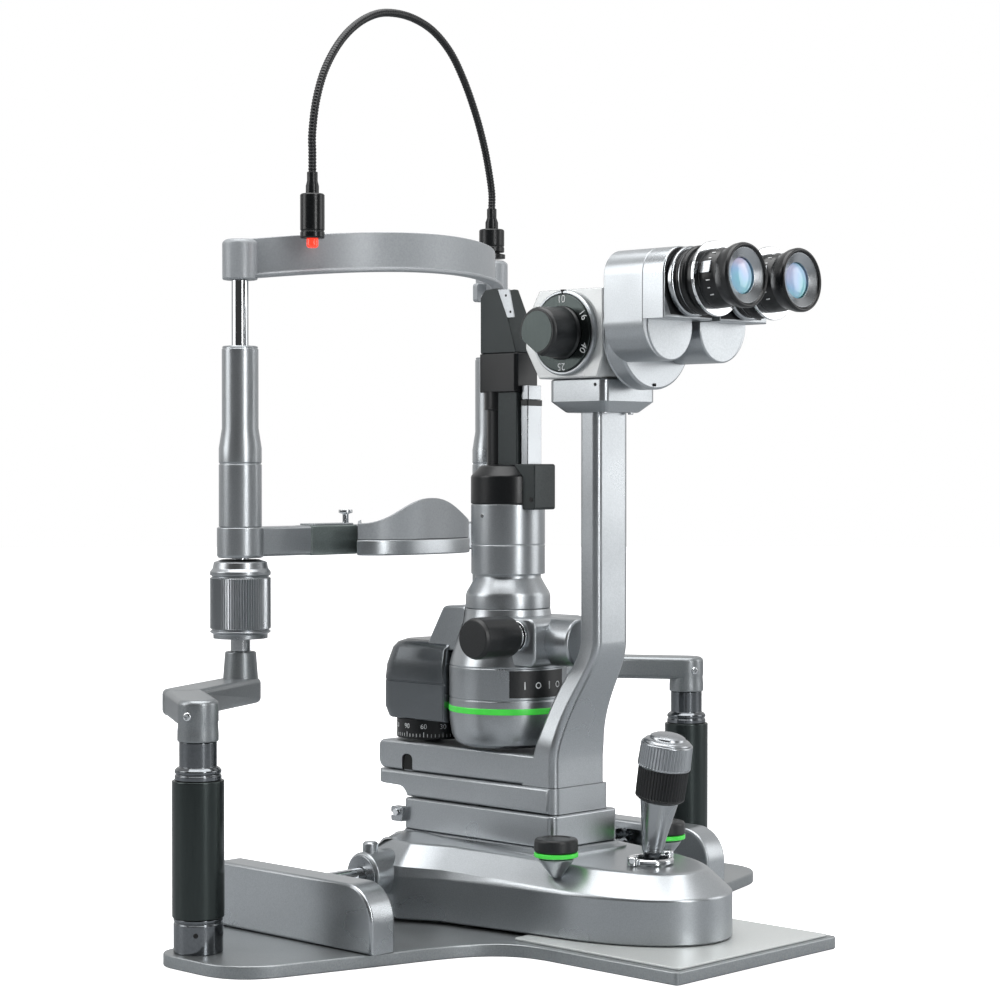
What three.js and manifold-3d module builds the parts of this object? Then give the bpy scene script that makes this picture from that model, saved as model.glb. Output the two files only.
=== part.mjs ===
// Slit lamp: a binocular microscope and a lamp tower that swing on one axis, on a base that
// rolls and slides over a plate, with a chin rest, a forehead band and a fixation light.
// Millimetres, Z up. X = 0 is midway between the two posts, Y = 0 is the line through both
// posts, Z = 0 is the underside of the plate. The operator sits at -Y, the patient at +Y.
import * as THREE from 'three';
import { mergeVertices } from 'three/addons/utils/BufferGeometryUtils.js';
import Module from 'manifold-3d';

const wasm = await Module();
wasm.setup();

// ---- driving dimensions ----
const gap = 0.3;
const fine = 18;
const medium = 14;
const coarse = 10;
const running = 0.5;

const plate = { top: 9.5, legHalf: 93, legFront: -298, wingHalf: 300, rear: 80, edge: 1.2, corner: 4,
  lobeR: 24 };
const pad = { half: 87, front: -294, back: -135, thick: 1.5 };
const post = { x: 276, footR: 18, footTop: 34.5, sleeveR: 19, sleeveTop: 134, ringR: 17, ringTop: 143.6,
  tubeR: 13.7, tubeTop: 162 };
const upright = { x: 143, y: 111, coreR: 6.8, footR: 7.8, footTop: 224, top: 508 };
const crank = { elbowX: 234, elbowY: 69, half: 16, bottom: 173, top: 193, bossTop: 214 };
const knob = { r: 24, bottom: 224.5, top: 287 };
const bar = { bottom: 289, top: 312.6, front: 101, back: 121, collarR: 18.5 };
const sleeve = { lowR: 17, topR: 14.5, waist: 362.6, shoulder: 391, top: 456 };
const chin = { front: 38, half: 61, widest: 64, neck: 26, top: 301.6, floor: 306, brim: 313.5, hump: 335,
  wall: 4 };
const band = { radius: 160, centreY: 190.9, wall: 3.4, lip: 7, endTop: 540.5, rise: 8.5, capR: 14 };
const fixation = { tubeR: 3.25, swivelTop: 586, lampX: -118, lampY: 53, lampTop: 591 };
const rail = { x: 190, half: 12, front: -104, back: 75, top: 59, round: 27, wall: 3 };
const axle = { z: 45, r: 4.5, tubeR: 6.5, tubeHalf: 172, half: 199, teeth: 12, pitchR: 9 };
const base = { bottom: 12, crease: 45, top: 62, inset: 18, slope: 0.03, slopeFrom: -230, rear: 42 };
const foot = { half: 38, front: -129, back: 35, bottom: 70.3, top: 95 };
const lift = { spindleY: -45, spindleR: 10, half: 33, front: -125, back: 71, top: 115 };
const swing = { y: 38, r: 9, top: 214 };
const arm = { half: 30, columnHalf: 18.5, deck: 139, front: -123, columnFront: -157, columnBack: -139,
  top: 407.7 };
const shelf = { half: 30, front: -174, back: -117, bottom: 408, top: 426.7 };
const optic = { z: 461, half: 35, front: -177, back: -98, bottom: 427, top: 494, barrelR: 42,
  barrelFront: -199 };
const prism = { x: 29.6, z: 463, lobeR: 25.5, lobeFront: -238, front: -257, outer: 59.5, inner: 4.5, top: 519,
  hoodBottom: 467 };
const eyepiece = { x: 32, z: 493.5, rise: 2.5 };
const tower = { y: -46, drumR: 46.5, drumBottom: 141.3, shoulder: 204, neck: 249 };
const joystick = { y: -190, z: 40, lean: 10, ballR: 14, tongueR: 10 };
const lock = { x: 62, y: -155, r: 16.5, bottom: 70, top: 85, stubR: 11 };

// ---- making solids ----

// A closed geometry as a solid: shared corners are merged, the empty triangles that a lathe
// leaves on its axis are dropped, and the faces are turned to point out.
function toSolid(geometry) {
  const bare = geometry.clone();
  bare.deleteAttribute('normal');
  bare.deleteAttribute('uv');
  const merged = mergeVertices(bare, 1e-4);
  const points = merged.getAttribute('position');
  const index = merged.getIndex().array;
  const kept = [];
  let volume = 0;
  const [a, b, c] = [new THREE.Vector3(), new THREE.Vector3(), new THREE.Vector3()];
  for (let i = 0; i < index.length; i += 3) {
    const [p, q, r] = [index[i], index[i + 1], index[i + 2]];
    if (p === q || q === r || r === p) continue;
    kept.push(p, q, r);
    a.fromBufferAttribute(points, p);
    b.fromBufferAttribute(points, q);
    c.fromBufferAttribute(points, r);
    volume += a.dot(b.cross(c));
  }
  if (volume < 0) kept.reverse();
  return new wasm.Manifold(new wasm.Mesh({
    numProp: 3,
    vertProperties: new Float32Array(points.array),
    triVerts: new Uint32Array(kept),
  }));
}

function toGeometry(solid) {
  const mesh = solid.getMesh();
  const geometry = new THREE.BufferGeometry();
  geometry.setAttribute('position', new THREE.BufferAttribute(new Float32Array(mesh.vertProperties), 3));
  geometry.setIndex(new THREE.BufferAttribute(new Uint32Array(mesh.triVerts), 1));
  geometry.computeVertexNormals();
  return geometry;
}

function join(first, ...others) {
  return others.reduce((sum, solid) => sum.add(solid), first);
}

function cut(first, ...others) {
  return others.reduce((rest, solid) => rest.subtract(solid), first);
}

// Turned about an upright axis at (x, y). The profile is a list of [radius, height].
function turned(profile, { x = 0, y = 0, sides = fine } = {}) {
  const geometry = new THREE.LatheGeometry(profile.map(([r, z]) => new THREE.Vector2(r, z)), sides);
  geometry.rotateX(Math.PI / 2);
  geometry.translate(x, y, 0);
  return toSolid(geometry);
}

// Turned about an axis along X at (y, z). The profile is a list of [radius, x].
function turnedX(profile, { y = 0, z = 0, sides = fine } = {}) {
  const geometry = new THREE.LatheGeometry(profile.map(([r, x]) => new THREE.Vector2(r, x)), sides);
  geometry.rotateZ(-Math.PI / 2);
  geometry.translate(0, y, z);
  return toSolid(geometry);
}

// Turned about an axis along Y at (x, z). The profile is a list of [radius, y].
function turnedY(profile, { x = 0, z = 0, sides = fine } = {}) {
  const geometry = new THREE.LatheGeometry(profile.map(([r, y]) => new THREE.Vector2(r, y)), sides);
  geometry.translate(x, 0, z);
  return toSolid(geometry);
}

function disc(r, low, high) {
  return [[0, low], [r, low], [r, high], [0, high]];
}

function ring(inner, outer, low, high) {
  return [[inner, low], [outer, low], [outer, high], [inner, high], [inner, low]];
}

function extruded(outline, length, edge, steps) {
  return new THREE.ExtrudeGeometry(outline, {
    depth: length - 2 * edge,
    bevelEnabled: edge > 0,
    bevelThickness: edge,
    bevelSize: edge,
    bevelOffset: -edge,
    bevelSegments: 1,
    curveSegments: steps,
  }).translate(0, 0, edge);
}

// An outline in X and Y, raised from low to high.
function slabZ(outline, low, high, edge = 0, steps = 4) {
  return toSolid(extruded(outline, high - low, edge, steps).translate(0, 0, low));
}

// An outline in Y and Z, carried along X from low to high.
function slabX(outline, low, high, edge = 0, steps = 4) {
  const turn = new THREE.Matrix4().set(0, 0, 1, low, 1, 0, 0, 0, 0, 1, 0, 0, 0, 0, 0, 1);
  return toSolid(extruded(outline, high - low, edge, steps).applyMatrix4(turn));
}

// An outline in X and Z, carried along Y from low to high.
function slabY(outline, low, high, edge = 0, steps = 4) {
  return toSolid(extruded(outline, high - low, edge, steps).rotateX(Math.PI / 2).translate(0, high, 0));
}

function box(x0, x1, y0, y1, z0, z1) {
  const geometry = new THREE.BoxGeometry(x1 - x0, y1 - y0, z1 - z0);
  return toSolid(geometry.translate((x0 + x1) / 2, (y0 + y1) / 2, (z0 + z1) / 2));
}

function polygon(points) {
  return new THREE.Shape(points.map(([u, v]) => new THREE.Vector2(u, v)));
}

// A rectangle with round corners of radius r.
function rounded(u0, u1, v0, v1, r) {
  const shape = new THREE.Shape();
  shape.absarc(u1 - r, v0 + r, r, -Math.PI / 2, 0);
  shape.absarc(u1 - r, v1 - r, r, 0, Math.PI / 2);
  shape.absarc(u0 + r, v1 - r, r, Math.PI / 2, Math.PI);
  shape.absarc(u0 + r, v0 + r, r, Math.PI, 1.5 * Math.PI);
  return shape;
}

// A straight bar with round ends, seen from above.
function roundBar([x0, y0], [x1, y1], half) {
  const along = Math.atan2(y1 - y0, x1 - x0);
  const shape = new THREE.Shape();
  shape.absarc(x1, y1, half, along - Math.PI / 2, along + Math.PI / 2);
  shape.absarc(x0, y0, half, along + Math.PI / 2, along + 1.5 * Math.PI);
  return shape;
}

// The whole outline from its right half, which starts and ends on the middle line.
function mirrored(half, steps) {
  const right = half.getPoints(steps);
  const left = right.slice(1, -1).reverse().map((point) => new THREE.Vector2(-point.x, point.y));
  return new THREE.Shape([...right, ...left]);
}

// ---- finishes ----
const paint = { color: 0xb4b7ba, roughness: 0.38, metalness: 0.55 };
const greyPaint = { color: 0x8d9193, roughness: 0.42, metalness: 0.4 };
const chrome = { color: 0xd5d8da, roughness: 0.12, metalness: 1 };
const anodised = { color: 0x55605d, roughness: 0.4, metalness: 0.7 };
const blackMetal = { color: 0x17191a, roughness: 0.35, metalness: 0.4 };
const blackPlastic = { color: 0x1c1e1f, roughness: 0.45, metalness: 0 };
const greyPlastic = { color: 0xa9adb0, roughness: 0.45, metalness: 0 };
const steel = { color: 0x9ca0a3, roughness: 0.3, metalness: 1 };
const whitePaint = { color: 0xdfe1e1, roughness: 0.4, metalness: 0.2 };

const slitLamp = new THREE.Group();

function put(name, solid, finish) {
  const mesh = new THREE.Mesh(toGeometry(solid), new THREE.MeshStandardMaterial(finish));
  mesh.name = name;
  slitLamp.add(mesh);
  return mesh;
}

const sides = [['left', -1], ['right', 1]];

// ---- plate, pad and rails ----

// The plate has a leg to the front, a wing to each side that ends in a round lobe under the
// post, and a straight back between the rail covers.
function basePlate() {
  const { legHalf, legFront, wingHalf, rear, corner, lobeR } = plate;
  const half = new THREE.Shape();
  half.moveTo(0, legFront);
  half.lineTo(legHalf - corner, legFront);
  half.quadraticCurveTo(legHalf, legFront, legHalf, legFront + corner);
  half.lineTo(legHalf, -172);
  half.bezierCurveTo(legHalf + 2, -128, 128, -118, 175, -106);
  half.lineTo(262, -80);
  half.quadraticCurveTo(wingHalf, -69, wingHalf, -31);
  half.lineTo(wingHalf, 0);
  half.absarc(post.x, 0, lobeR, 0, Math.PI / 2);
  half.lineTo(254, lobeR);
  half.quadraticCurveTo(234, lobeR, 224, 44);
  half.quadraticCurveTo(212, rear, 196, rear);
  half.lineTo(0, rear);
  return slabZ(mirrored(half, 5), 0, plate.top, plate.edge);
}

function slidePad() {
  const low = plate.top + gap;
  return slabZ(rounded(-pad.half, pad.half, pad.front, pad.back, 3), low, low + pad.thick, 0, 3);
}

// A rail cover is a box with an open bottom and a slot in its inner wall for the axle.
function railCover(side) {
  const low = plate.top + gap;
  const { front, back, top, round, wall, half } = rail;
  const outline = (inset) => {
    const shape = new THREE.Shape();
    shape.moveTo(front + inset, inset ? low - 1 : low);
    shape.lineTo(back - inset, inset ? low - 1 : low);
    shape.lineTo(back - inset, top - 8);
    shape.lineTo(back - inset - 8, top - inset);
    shape.lineTo(front + round, top - inset);
    shape.absarc(front + round, top - round, round - inset, Math.PI / 2, Math.PI);
    return shape;
  };
  const shell = slabX(outline(0), side * rail.x - half, side * rail.x + half, 1);
  const inside = slabX(outline(wall), side * rail.x - half + 2, side * rail.x + half - 2);
  const inner = side * (rail.x - half);
  const slot = slabX(rounded(-52, 42, axle.z - 7, axle.z + 7, 6.5), inner - wall - 1, inner + wall + 1, 0, 4);
  return cut(shell, inside, slot);
}

// A toothed rail under the wheel, with a gap between two teeth straight below the axle.
function rack(side) {
  const low = plate.top + gap;
  const pitch = (2 * Math.PI * axle.pitchR) / axle.teeth;
  const line = axle.z - axle.pitchR;
  const [tip, root, half] = [line + 1.1, line - 1.7, 13];
  const points = [[-half * pitch, low], [half * pitch, low], [half * pitch, root]];
  for (let i = half - 1; i >= -half; i -= 1) {
    const middle = (i + 0.5) * pitch;
    points.push([middle + 1.2, root], [middle + 0.5, tip], [middle - 0.5, tip], [middle - 1.2, root]);
  }
  points.push([-half * pitch, root]);
  return slabX(polygon(points), side * rail.x - 4.5, side * rail.x + 4.5);
}

function plateAndRails() {
  put('base_plate', basePlate(), paint);
  put('slide_pad', slidePad(), whitePaint);
  for (const [word, side] of sides) {
    put(`rail_cover_${word}`, railCover(side), paint);
    put(`rack_${word}`, rack(side), steel);
  }
}

// ---- the two posts and their cranks ----

function postFoot() {
  const low = plate.top + gap;
  const body = turned(disc(post.footR, low, post.footTop));
  const screwHole = turnedX(disc(1.8, -post.footR - 1, 5 - post.footR), { z: 24, sides: coarse });
  return cut(body, screwHole);
}

function postTube() {
  const low = post.sleeveTop + gap;
  return turned([[0, low], [post.ringR, low], [post.ringR, post.ringTop - 3],
    [post.ringR - 3, post.ringTop], [post.tubeR, post.ringTop], [post.tubeR, post.tubeTop - gap],
    [0, post.tubeTop - gap]]);
}

// The crank carries an upright off its post: a bent arm with a boss at each end.
function crankArm(side) {
  const postEnd = [side * post.x, 0];
  const elbow = [side * crank.elbowX, crank.elbowY];
  const end = [side * upright.x, upright.y];
  const { half, bottom, top } = crank;
  const inner = slabZ(roundBar(postEnd, elbow, half - 1), bottom, top, 4, 4);
  const outer = slabZ(roundBar(elbow, end, half), bottom, top, 4, 4);
  const postBoss = turned([[0, post.tubeTop], [15, post.tubeTop], [13.6, 188], [9, top - 0.5],
    [0, top - 0.5]],
    { x: postEnd[0], y: postEnd[1], sides: medium });
  const endBoss = turned([[0, bottom + 1], [11, bottom + 1], [15, bottom + 6], [12.2, crank.bossTop],
    [0, crank.bossTop]], { x: end[0], y: end[1], sides: medium });
  return join(inner, outer, postBoss, endBoss);
}

function uprightRod() {
  const low = crank.bossTop + gap;
  return turned([[0, low], [upright.footR, low], [upright.footR, upright.footTop],
    [upright.coreR, upright.footTop], [upright.coreR, upright.top], [0, upright.top]]);
}

function posts() {
  for (const [word, side] of sides) {
    const stand = [
      put(`post_foot_${word}`, postFoot(), chrome),
      put(`post_sleeve_${word}`, turned(disc(post.sleeveR, post.footTop + gap, post.sleeveTop)), anodised),
      put(`post_tube_${word}`, postTube(), chrome),
    ];
    stand.forEach((mesh) => mesh.position.set(side * post.x, 0, 0));
    stand[0].rotation.z = side > 0 ? 0 : Math.PI / 4;
    put(`crank_${word}`, crankArm(side), greyPaint);
    put(`upright_rod_${word}`, uprightRod(), chrome).position.set(side * upright.x, upright.y, 0);
  }
}

// ---- chin rest ----

const slimBore = upright.coreR + running;

function heightKnob() {
  const { r, bottom, top } = knob;
  return turned([[slimBore, bottom], [r - 2, bottom], [r - 1, bottom + 6], [r, bottom + 8], [r, 276],
    [r - 2, 279], [r - 3, 284], [r - 9, top], [slimBore, top], [slimBore, bottom]]);
}

function spacer() {
  return turned([[slimBore, knob.bottom], [16, knob.bottom], [17, knob.bottom + 2], [17, knob.top - 2],
    [15, knob.top], [slimBore, knob.top], [slimBore, knob.bottom]], { sides: medium });
}

// The bar joins two collars that ride on the uprights.
function crossbar() {
  const { bottom, top, front, back, collarR } = bar;
  const beam = slabX(rounded(front, back, bottom, top, 2), -upright.x, upright.x, 0, 3);
  const collars = sides.map(([, s]) => turned([[0, bottom - 0.7], [collarR - 1, bottom - 0.7],
    [collarR, bottom + 1], [collarR, top - 0.6], [collarR - 1, top], [0, top]],
  { x: s * upright.x, y: upright.y }));
  const bores = sides.map(([, s]) => turned(disc(slimBore, bottom - 2, top + 2),
    { x: s * upright.x, y: upright.y }));
  return cut(join(beam, ...collars), ...bores);
}

function chinSleeve() {
  const { lowR, topR, waist, shoulder, top } = sleeve;
  const low = bar.top + gap;
  return turned([[slimBore, low], [lowR, low], [lowR, waist], [lowR - 0.8, waist + 0.3], [lowR, waist + 0.9],
    [lowR, waist + 12], [topR, shoulder], [topR, top - 1], [topR - 1, top], [slimBore, top],
    [slimBore, low]]);
}

// The chin plate's outline: it leaves the bar narrow, widens, and closes in a shallow bow.
function chinOutline(inset, back) {
  const { half, widest, neck } = chin;
  const front = chin.front + inset;
  const shape = new THREE.Shape();
  shape.moveTo(-neck + inset, back);
  shape.lineTo(inset - half, widest);
  shape.bezierCurveTo(inset - half - 1, 48, -37, front, 0, front);
  shape.bezierCurveTo(37, front, half + 1 - inset, 48, half - inset, widest);
  shape.lineTo(neck - inset, back);
  return shape;
}

function chinSupport() {
  return slabZ(chinOutline(0, bar.front - gap), bar.bottom, chin.top, 1.5);
}

// The cup stands on the support. Its wall is low at the sides and rises to a hump in front.
function chinCup() {
  const { half, widest, brim, hump, floor, wall } = chin;
  const low = chin.top + gap;
  const over = half + 5;
  const back = bar.front - gap;
  const whole = slabZ(chinOutline(1, back), low, hump + 1, 0);
  const inside = slabZ(chinOutline(1 + wall, back - wall), floor, hump + 5, 0);
  const rise = new THREE.Shape();
  rise.moveTo(-over, low - 1);
  rise.lineTo(over, low - 1);
  rise.lineTo(over, brim);
  rise.bezierCurveTo(38, brim + 3, 27, hump, 0, hump);
  rise.bezierCurveTo(-27, hump, -38, brim + 3, -over, brim);
  const fall = polygon([[0, low - 1], [bar.back, low - 1], [bar.back, brim], [widest + 14, brim],
    [widest - 4, hump + 2], [0, hump + 2]]);
  return cut(whole, inside).intersect(slabY(rise, 0, bar.back)).intersect(slabX(fall, -over, over));
}

function chinRest() {
  put('chin_height_knob', heightKnob(), steel).position.set(-upright.x, upright.y, 0);
  put('height_spacer', spacer(), paint).position.set(upright.x, upright.y, 0);
  put('chin_crossbar', crossbar(), paint);
  put('chin_support', chinSupport(), paint);
  put('chin_cup', chinCup(), greyPlastic);
  for (const [word, side] of sides) {
    put(`chin_sleeve_${word}`, chinSleeve(), paint).position.set(side * upright.x, upright.y, 0);
  }
}

// ---- forehead band and fixation light ----

function arc(inner, outer, reach) {
  const shape = new THREE.Shape();
  const middle = -Math.PI / 2;
  shape.absarc(0, band.centreY, outer, middle - reach, middle + reach);
  shape.absarc(0, band.centreY, inner, middle + reach, middle - reach, true);
  return shape;
}

// The space between two parabolas over the band's width, so that it is highest in the middle.
function arch(lowEnd, highEnd) {
  const shape = new THREE.Shape();
  const half = upright.x + 2;
  shape.moveTo(-half, lowEnd);
  shape.quadraticCurveTo(0, lowEnd + 2 * band.rise, half, lowEnd);
  shape.lineTo(half, highEnd);
  shape.quadraticCurveTo(0, highEnd + 2 * band.rise, -half, highEnd);
  return slabY(shape, 0, 150, 0, 10);
}

function foreheadBand() {
  const { radius, wall, lip, endTop, capR } = band;
  const low = upright.top + gap;
  const reach = Math.asin((upright.x - 6) / radius);
  const wallPart = slabZ(arc(radius - wall, radius, reach), low - 5, endTop + 20, 0, 9);
  const lipPart = slabZ(arc(radius - wall / 2, radius + lip, reach), low - 5, endTop, 0, 9);
  const caps = sides.map(([, s]) => turned([[0, low], [capR, low], [capR, endTop - 3], [capR - 3, endTop],
    [0, endTop]], { x: s * upright.x, y: upright.y, sides: medium }));
  return join(wallPart.intersect(arch(low, endTop)), lipPart.intersect(arch(low, low + 3)), ...caps);
}

function fixationSwivel() {
  const low = band.endTop + 2;
  return turned([[0, low], [11.8, low], [11.8, 546], [7, 547], [7, 548], [11, 548], [11, 567], [10, 568],
    [5.6, 568], [5.6, 574], [4.2, 578], [4.2, fixation.swivelTop], [0, fixation.swivelTop]],
  { sides: medium });
}

function fixationLamp() {
  const top = fixation.lampTop;
  return turned([[0, 531.5], [4.6, 531.5], [4.6, 539], [9, 539], [9.6, 540], [9.6, 573], [8.6, 574],
    [5.2, 574], [5.2, 580], [4.2, 584], [4.2, top], [0, top]], { sides: medium });
}

// The bendable tube rises off the swivel, arches over, and hangs straight down into the lamp.
// Each point is a share of the way from the swivel to the lamp, and a height.
function gooseneck() {
  const start = new THREE.Vector2(upright.x, upright.y);
  const end = new THREE.Vector2(fixation.lampX, fixation.lampY);
  const route = [[0, fixation.swivelTop + gap], [0, 600], [0.02, 620], [0.05, 641], [0.1, 666], [0.17, 692],
    [0.25, 713], [0.35, 727], [0.46, 733], [0.57, 733], [0.67, 728], [0.77, 716], [0.86, 698], [0.935, 674],
    [0.98, 648], [1, 622], [1, 606], [1, fixation.lampTop + gap]];
  const points = route.map(([share, z]) => {
    const spot = start.clone().lerp(end, share);
    return new THREE.Vector3(spot.x, spot.y, z);
  });
  const section = new THREE.Shape();
  section.absarc(0, 0, fixation.tubeR, 0, 2 * Math.PI);
  const geometry = new THREE.ExtrudeGeometry(section, {
    steps: 40,
    curveSegments: 4,
    bevelEnabled: false,
    extrudePath: new THREE.CatmullRomCurve3(points),
  });
  return toSolid(geometry);
}

function headFrame() {
  put('forehead_band', foreheadBand(), greyPlastic);
  put('fixation_swivel', fixationSwivel(), blackMetal).position.set(upright.x, upright.y, 0);
  put('fixation_gooseneck', gooseneck(), blackMetal);
  put('fixation_lamp', fixationLamp(), blackMetal).position.set(fixation.lampX, fixation.lampY, 0);
}

// ---- cross slide: axle, wheels and their tube ----

function wheel(side) {
  const { teeth, pitchR } = axle;
  const [tip, root] = [pitchR + 1.1, pitchR - 1.6];
  const points = [];
  for (let i = 0; i < teeth; i += 1) {
    const middle = -Math.PI / 2 + (i * 2 * Math.PI) / teeth;
    for (const [turn, r] of [[-0.14, root], [-0.05, tip], [0.05, tip], [0.14, root]]) {
      points.push([r * Math.cos(middle + turn), r * Math.sin(middle + turn)]);
    }
  }
  const gear = slabX(polygon(points), side * rail.x - 4, side * rail.x + 4);
  const hub = turnedX(disc(axle.r + gap, side * rail.x - 6, side * rail.x + 6), { sides: coarse });
  return cut(gear, hub).translate([0, 0, axle.z]);
}

function crossSlide() {
  const tube = turnedX(ring(axle.r + gap, axle.tubeR, -axle.tubeHalf, axle.tubeHalf),
    { z: axle.z, sides: medium });
  put('cross_tube', tube, chrome);
  put('cross_axle', turnedX(disc(axle.r, -axle.half, axle.half), { z: axle.z, sides: coarse }), steel);
  for (const [word, side] of sides) put(`wheel_${word}`, wheel(side), steel);
}

// ---- base casting ----

function baseOutline() {
  const half = new THREE.Shape();
  half.moveTo(0, -259);
  half.bezierCurveTo(38, -259, 64, -215, 69, -160);
  half.lineTo(73, -128);
  half.lineTo(83, -54);
  half.lineTo(98, -22);
  half.lineTo(98, 20);
  half.lineTo(64, base.rear);
  half.lineTo(0, base.rear);
  return mirrored(half, 7);
}

// Everything above the crease rises gently towards the back.
function sloped(geometry) {
  const points = geometry.getAttribute('position');
  for (let i = 0; i < points.count; i += 1) {
    if (points.getZ(i) > base.crease + 1) {
      points.setZ(i, points.getZ(i) + (points.getY(i) - base.slopeFrom) * base.slope);
    }
  }
  return geometry;
}

function baseCasting() {
  const { bottom, crease, top, inset } = base;
  const height = top - crease;
  const stubTop = lock.bottom - gap;
  const body = new THREE.ExtrudeGeometry(baseOutline(), {
    depth: crease,
    bevelThickness: height,
    bevelSize: inset,
    bevelOffset: -inset,
    bevelSegments: 1,
  });
  const above = box(-200, 200, -300, 100, bottom, 200);
  const shell = toSolid(sloped(body)).intersect(above);
  const plinth = slabZ(rounded(-foot.half - 2, foot.half + 2, foot.front - 3, foot.back + 2, 6), crease,
    foot.bottom - gap, 1, 4);
  const boss = turnedX([[0, -115], [16, -115], [18, -113], [18, 113], [16, 115], [0, 115]], { z: axle.z });
  const axleBore = turnedX(disc(axle.tubeR + gap, -120, 120), { z: axle.z, sides: medium });
  const spindleBore = turned(disc(lift.spindleR + gap, 20, 80), { y: lift.spindleY, sides: medium });
  const ballPocket = turned([[0, 22], [16, 22], [16, 58], [14, 61], [14, 80], [0, 80]], { y: joystick.y });
  const stubs = sides.map(([, side]) => turned([[0, crease], [15, crease], [lock.stubR, 64],
    [lock.stubR, stubTop], [0, stubTop]], { x: side * lock.x, y: lock.y, sides: medium }));
  return cut(join(shell, plinth, boss, ...stubs), axleBore, spindleBore, ballPocket);
}

function joystickSeat() {
  return turned([[13.5, 63.8], [18, 63.8], [18, 66.6], [16.5, 68], [13.5, 68], [13.5, 63.8]],
    { y: joystick.y - 4 });
}

function columnFoot() {
  const outline = rounded(-foot.half, foot.half, foot.front, foot.back, 6);
  const block = slabZ(outline, foot.bottom, foot.top, 1.5, 4);
  return cut(block, turned(disc(lift.spindleR + gap, 60, 100), { y: lift.spindleY, sides: medium }));
}

// A lock knob: a cap over a narrower band, free to turn on its cone.
function lockKnob() {
  const { r, bottom, top } = lock;
  return turned([[0, bottom], [13, bottom], [15.5, bottom + 1], [15.5, bottom + 4], [r, bottom + 4.3],
    [r, top - 1], [r - 1, top], [0, top]], { sides: medium });
}

function baseUnit() {
  put('base_casting', baseCasting(), paint);
  put('joystick_seat', joystickSeat(), chrome);
  put('column_foot', columnFoot(), paint);
  for (const [word, side] of sides) {
    put(`lock_knob_${word}`, lockKnob(), blackPlastic).position.set(side * lock.x, lock.y, 0);
  }
}

// ---- joystick: it tilts both ways on a slotted ball, and its grip turns ----

function joystickBall() {
  const ball = toSolid(new THREE.SphereGeometry(joystick.ballR, 16, 10));
  const room = joystick.tongueR + running;
  const pocket = turnedY(disc(room, -4.3, 4.3), { sides: medium });
  return cut(ball, pocket, box(-20, 20, -4.3, 4.3, 4, 20));
}

function joystickStem() {
  const tongue = turnedY(disc(joystick.tongueR, -4, 4), { sides: medium });
  const neck = box(-3.8, 3.8, -3.8, 3.8, 0, 18);
  const taper = turned([[0, 15], [5, 15], [5, 27], [8, 34], [13.5, 72.5], [0, 72.5]], { sides: medium });
  return join(tongue, neck, taper);
}

function joystickGrip() {
  return turned([[0, 72.8], [16, 72.8], [19, 75], [19, 98], [20, 99], [19.4, 116], [17, 118.5], [13.5, 119.5],
    [13, 121.5], [7, 123.8], [0, 124.2]]);
}

function joystickUnit() {
  const group = new THREE.Group();
  group.position.set(0, joystick.y, joystick.z);
  group.rotation.x = THREE.MathUtils.degToRad(joystick.lean);
  slitLamp.add(group);
  group.add(put('joystick_ball', joystickBall(), steel));
  group.add(put('joystick_stem', joystickStem(), chrome));
  group.add(put('joystick_grip', joystickGrip(), blackPlastic));
}

// ---- lift: the spindle, its block and the axle that both arms swing on ----

function liftBlock() {
  const { half, front, back, top } = lift;
  const low = foot.top + gap;
  const outline = polygon([[front, low], [36, low], [44, 102], [back - 6, 103], [back, 107], [back, top],
    [front, top]]);
  const width = slabZ(rounded(-half, half, front, back, 8), low - 1, top + 1, 0, 4);
  const seat = turned(disc(swing.r + gap, 104, top + 2), { y: swing.y, sides: medium });
  return cut(slabX(outline, -half, half).intersect(width), seat);
}

function liftUnit() {
  put('lift_spindle', turned(disc(lift.spindleR, 22, foot.top), { y: lift.spindleY, sides: medium }), chrome);
  put('lift_block', liftBlock(), paint);
  put('swing_axle', turned(disc(swing.r, 104 + gap, swing.top), { y: swing.y, sides: medium }), steel);
}

// ---- microscope ----

// The arm seen from the side: a flat deck under the lamp, then an S bend up to the column.
function armSide() {
  const low = lift.top + gap;
  const { deck, front, columnFront, columnBack, top } = arm;
  const shape = new THREE.Shape();
  shape.moveTo(front, low);
  shape.lineTo(lift.back + 1, low);
  shape.lineTo(lift.back + 1, deck);
  shape.lineTo(-94, deck - 1);
  shape.quadraticCurveTo(-102, deck - 1, -105, 148);
  shape.bezierCurveTo(-113, 178, -118, 190, -130, 206);
  shape.quadraticCurveTo(columnBack, 218, columnBack, 232);
  shape.lineTo(columnBack, top);
  shape.lineTo(columnFront, top);
  shape.lineTo(columnFront, 226);
  shape.bezierCurveTo(columnFront, 208, front - 4, 180, front, low + 20);
  return shape;
}

function armFront() {
  const { half, columnHalf, top } = arm;
  const shape = new THREE.Shape();
  shape.moveTo(-half, 100);
  shape.lineTo(half, 100);
  shape.lineTo(half, 150);
  shape.bezierCurveTo(half, 190, columnHalf + 3, 205, columnHalf, 232);
  shape.lineTo(columnHalf, top + 5);
  shape.lineTo(-columnHalf, top + 5);
  shape.lineTo(-columnHalf, 232);
  shape.bezierCurveTo(-columnHalf - 3, 205, -half, 190, -half, 150);
  return shape;
}

function microscopeArm() {
  const body = slabX(armSide(), -arm.half, arm.half).intersect(slabY(armFront(), -170, 90));
  return cut(body, turned(disc(swing.r + running, 100, 160), { y: swing.y, sides: medium }));
}

function headShelf() {
  return slabZ(rounded(-shelf.half, shelf.half, shelf.front, shelf.back, 6), shelf.bottom, shelf.top, 2, 4);
}

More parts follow.
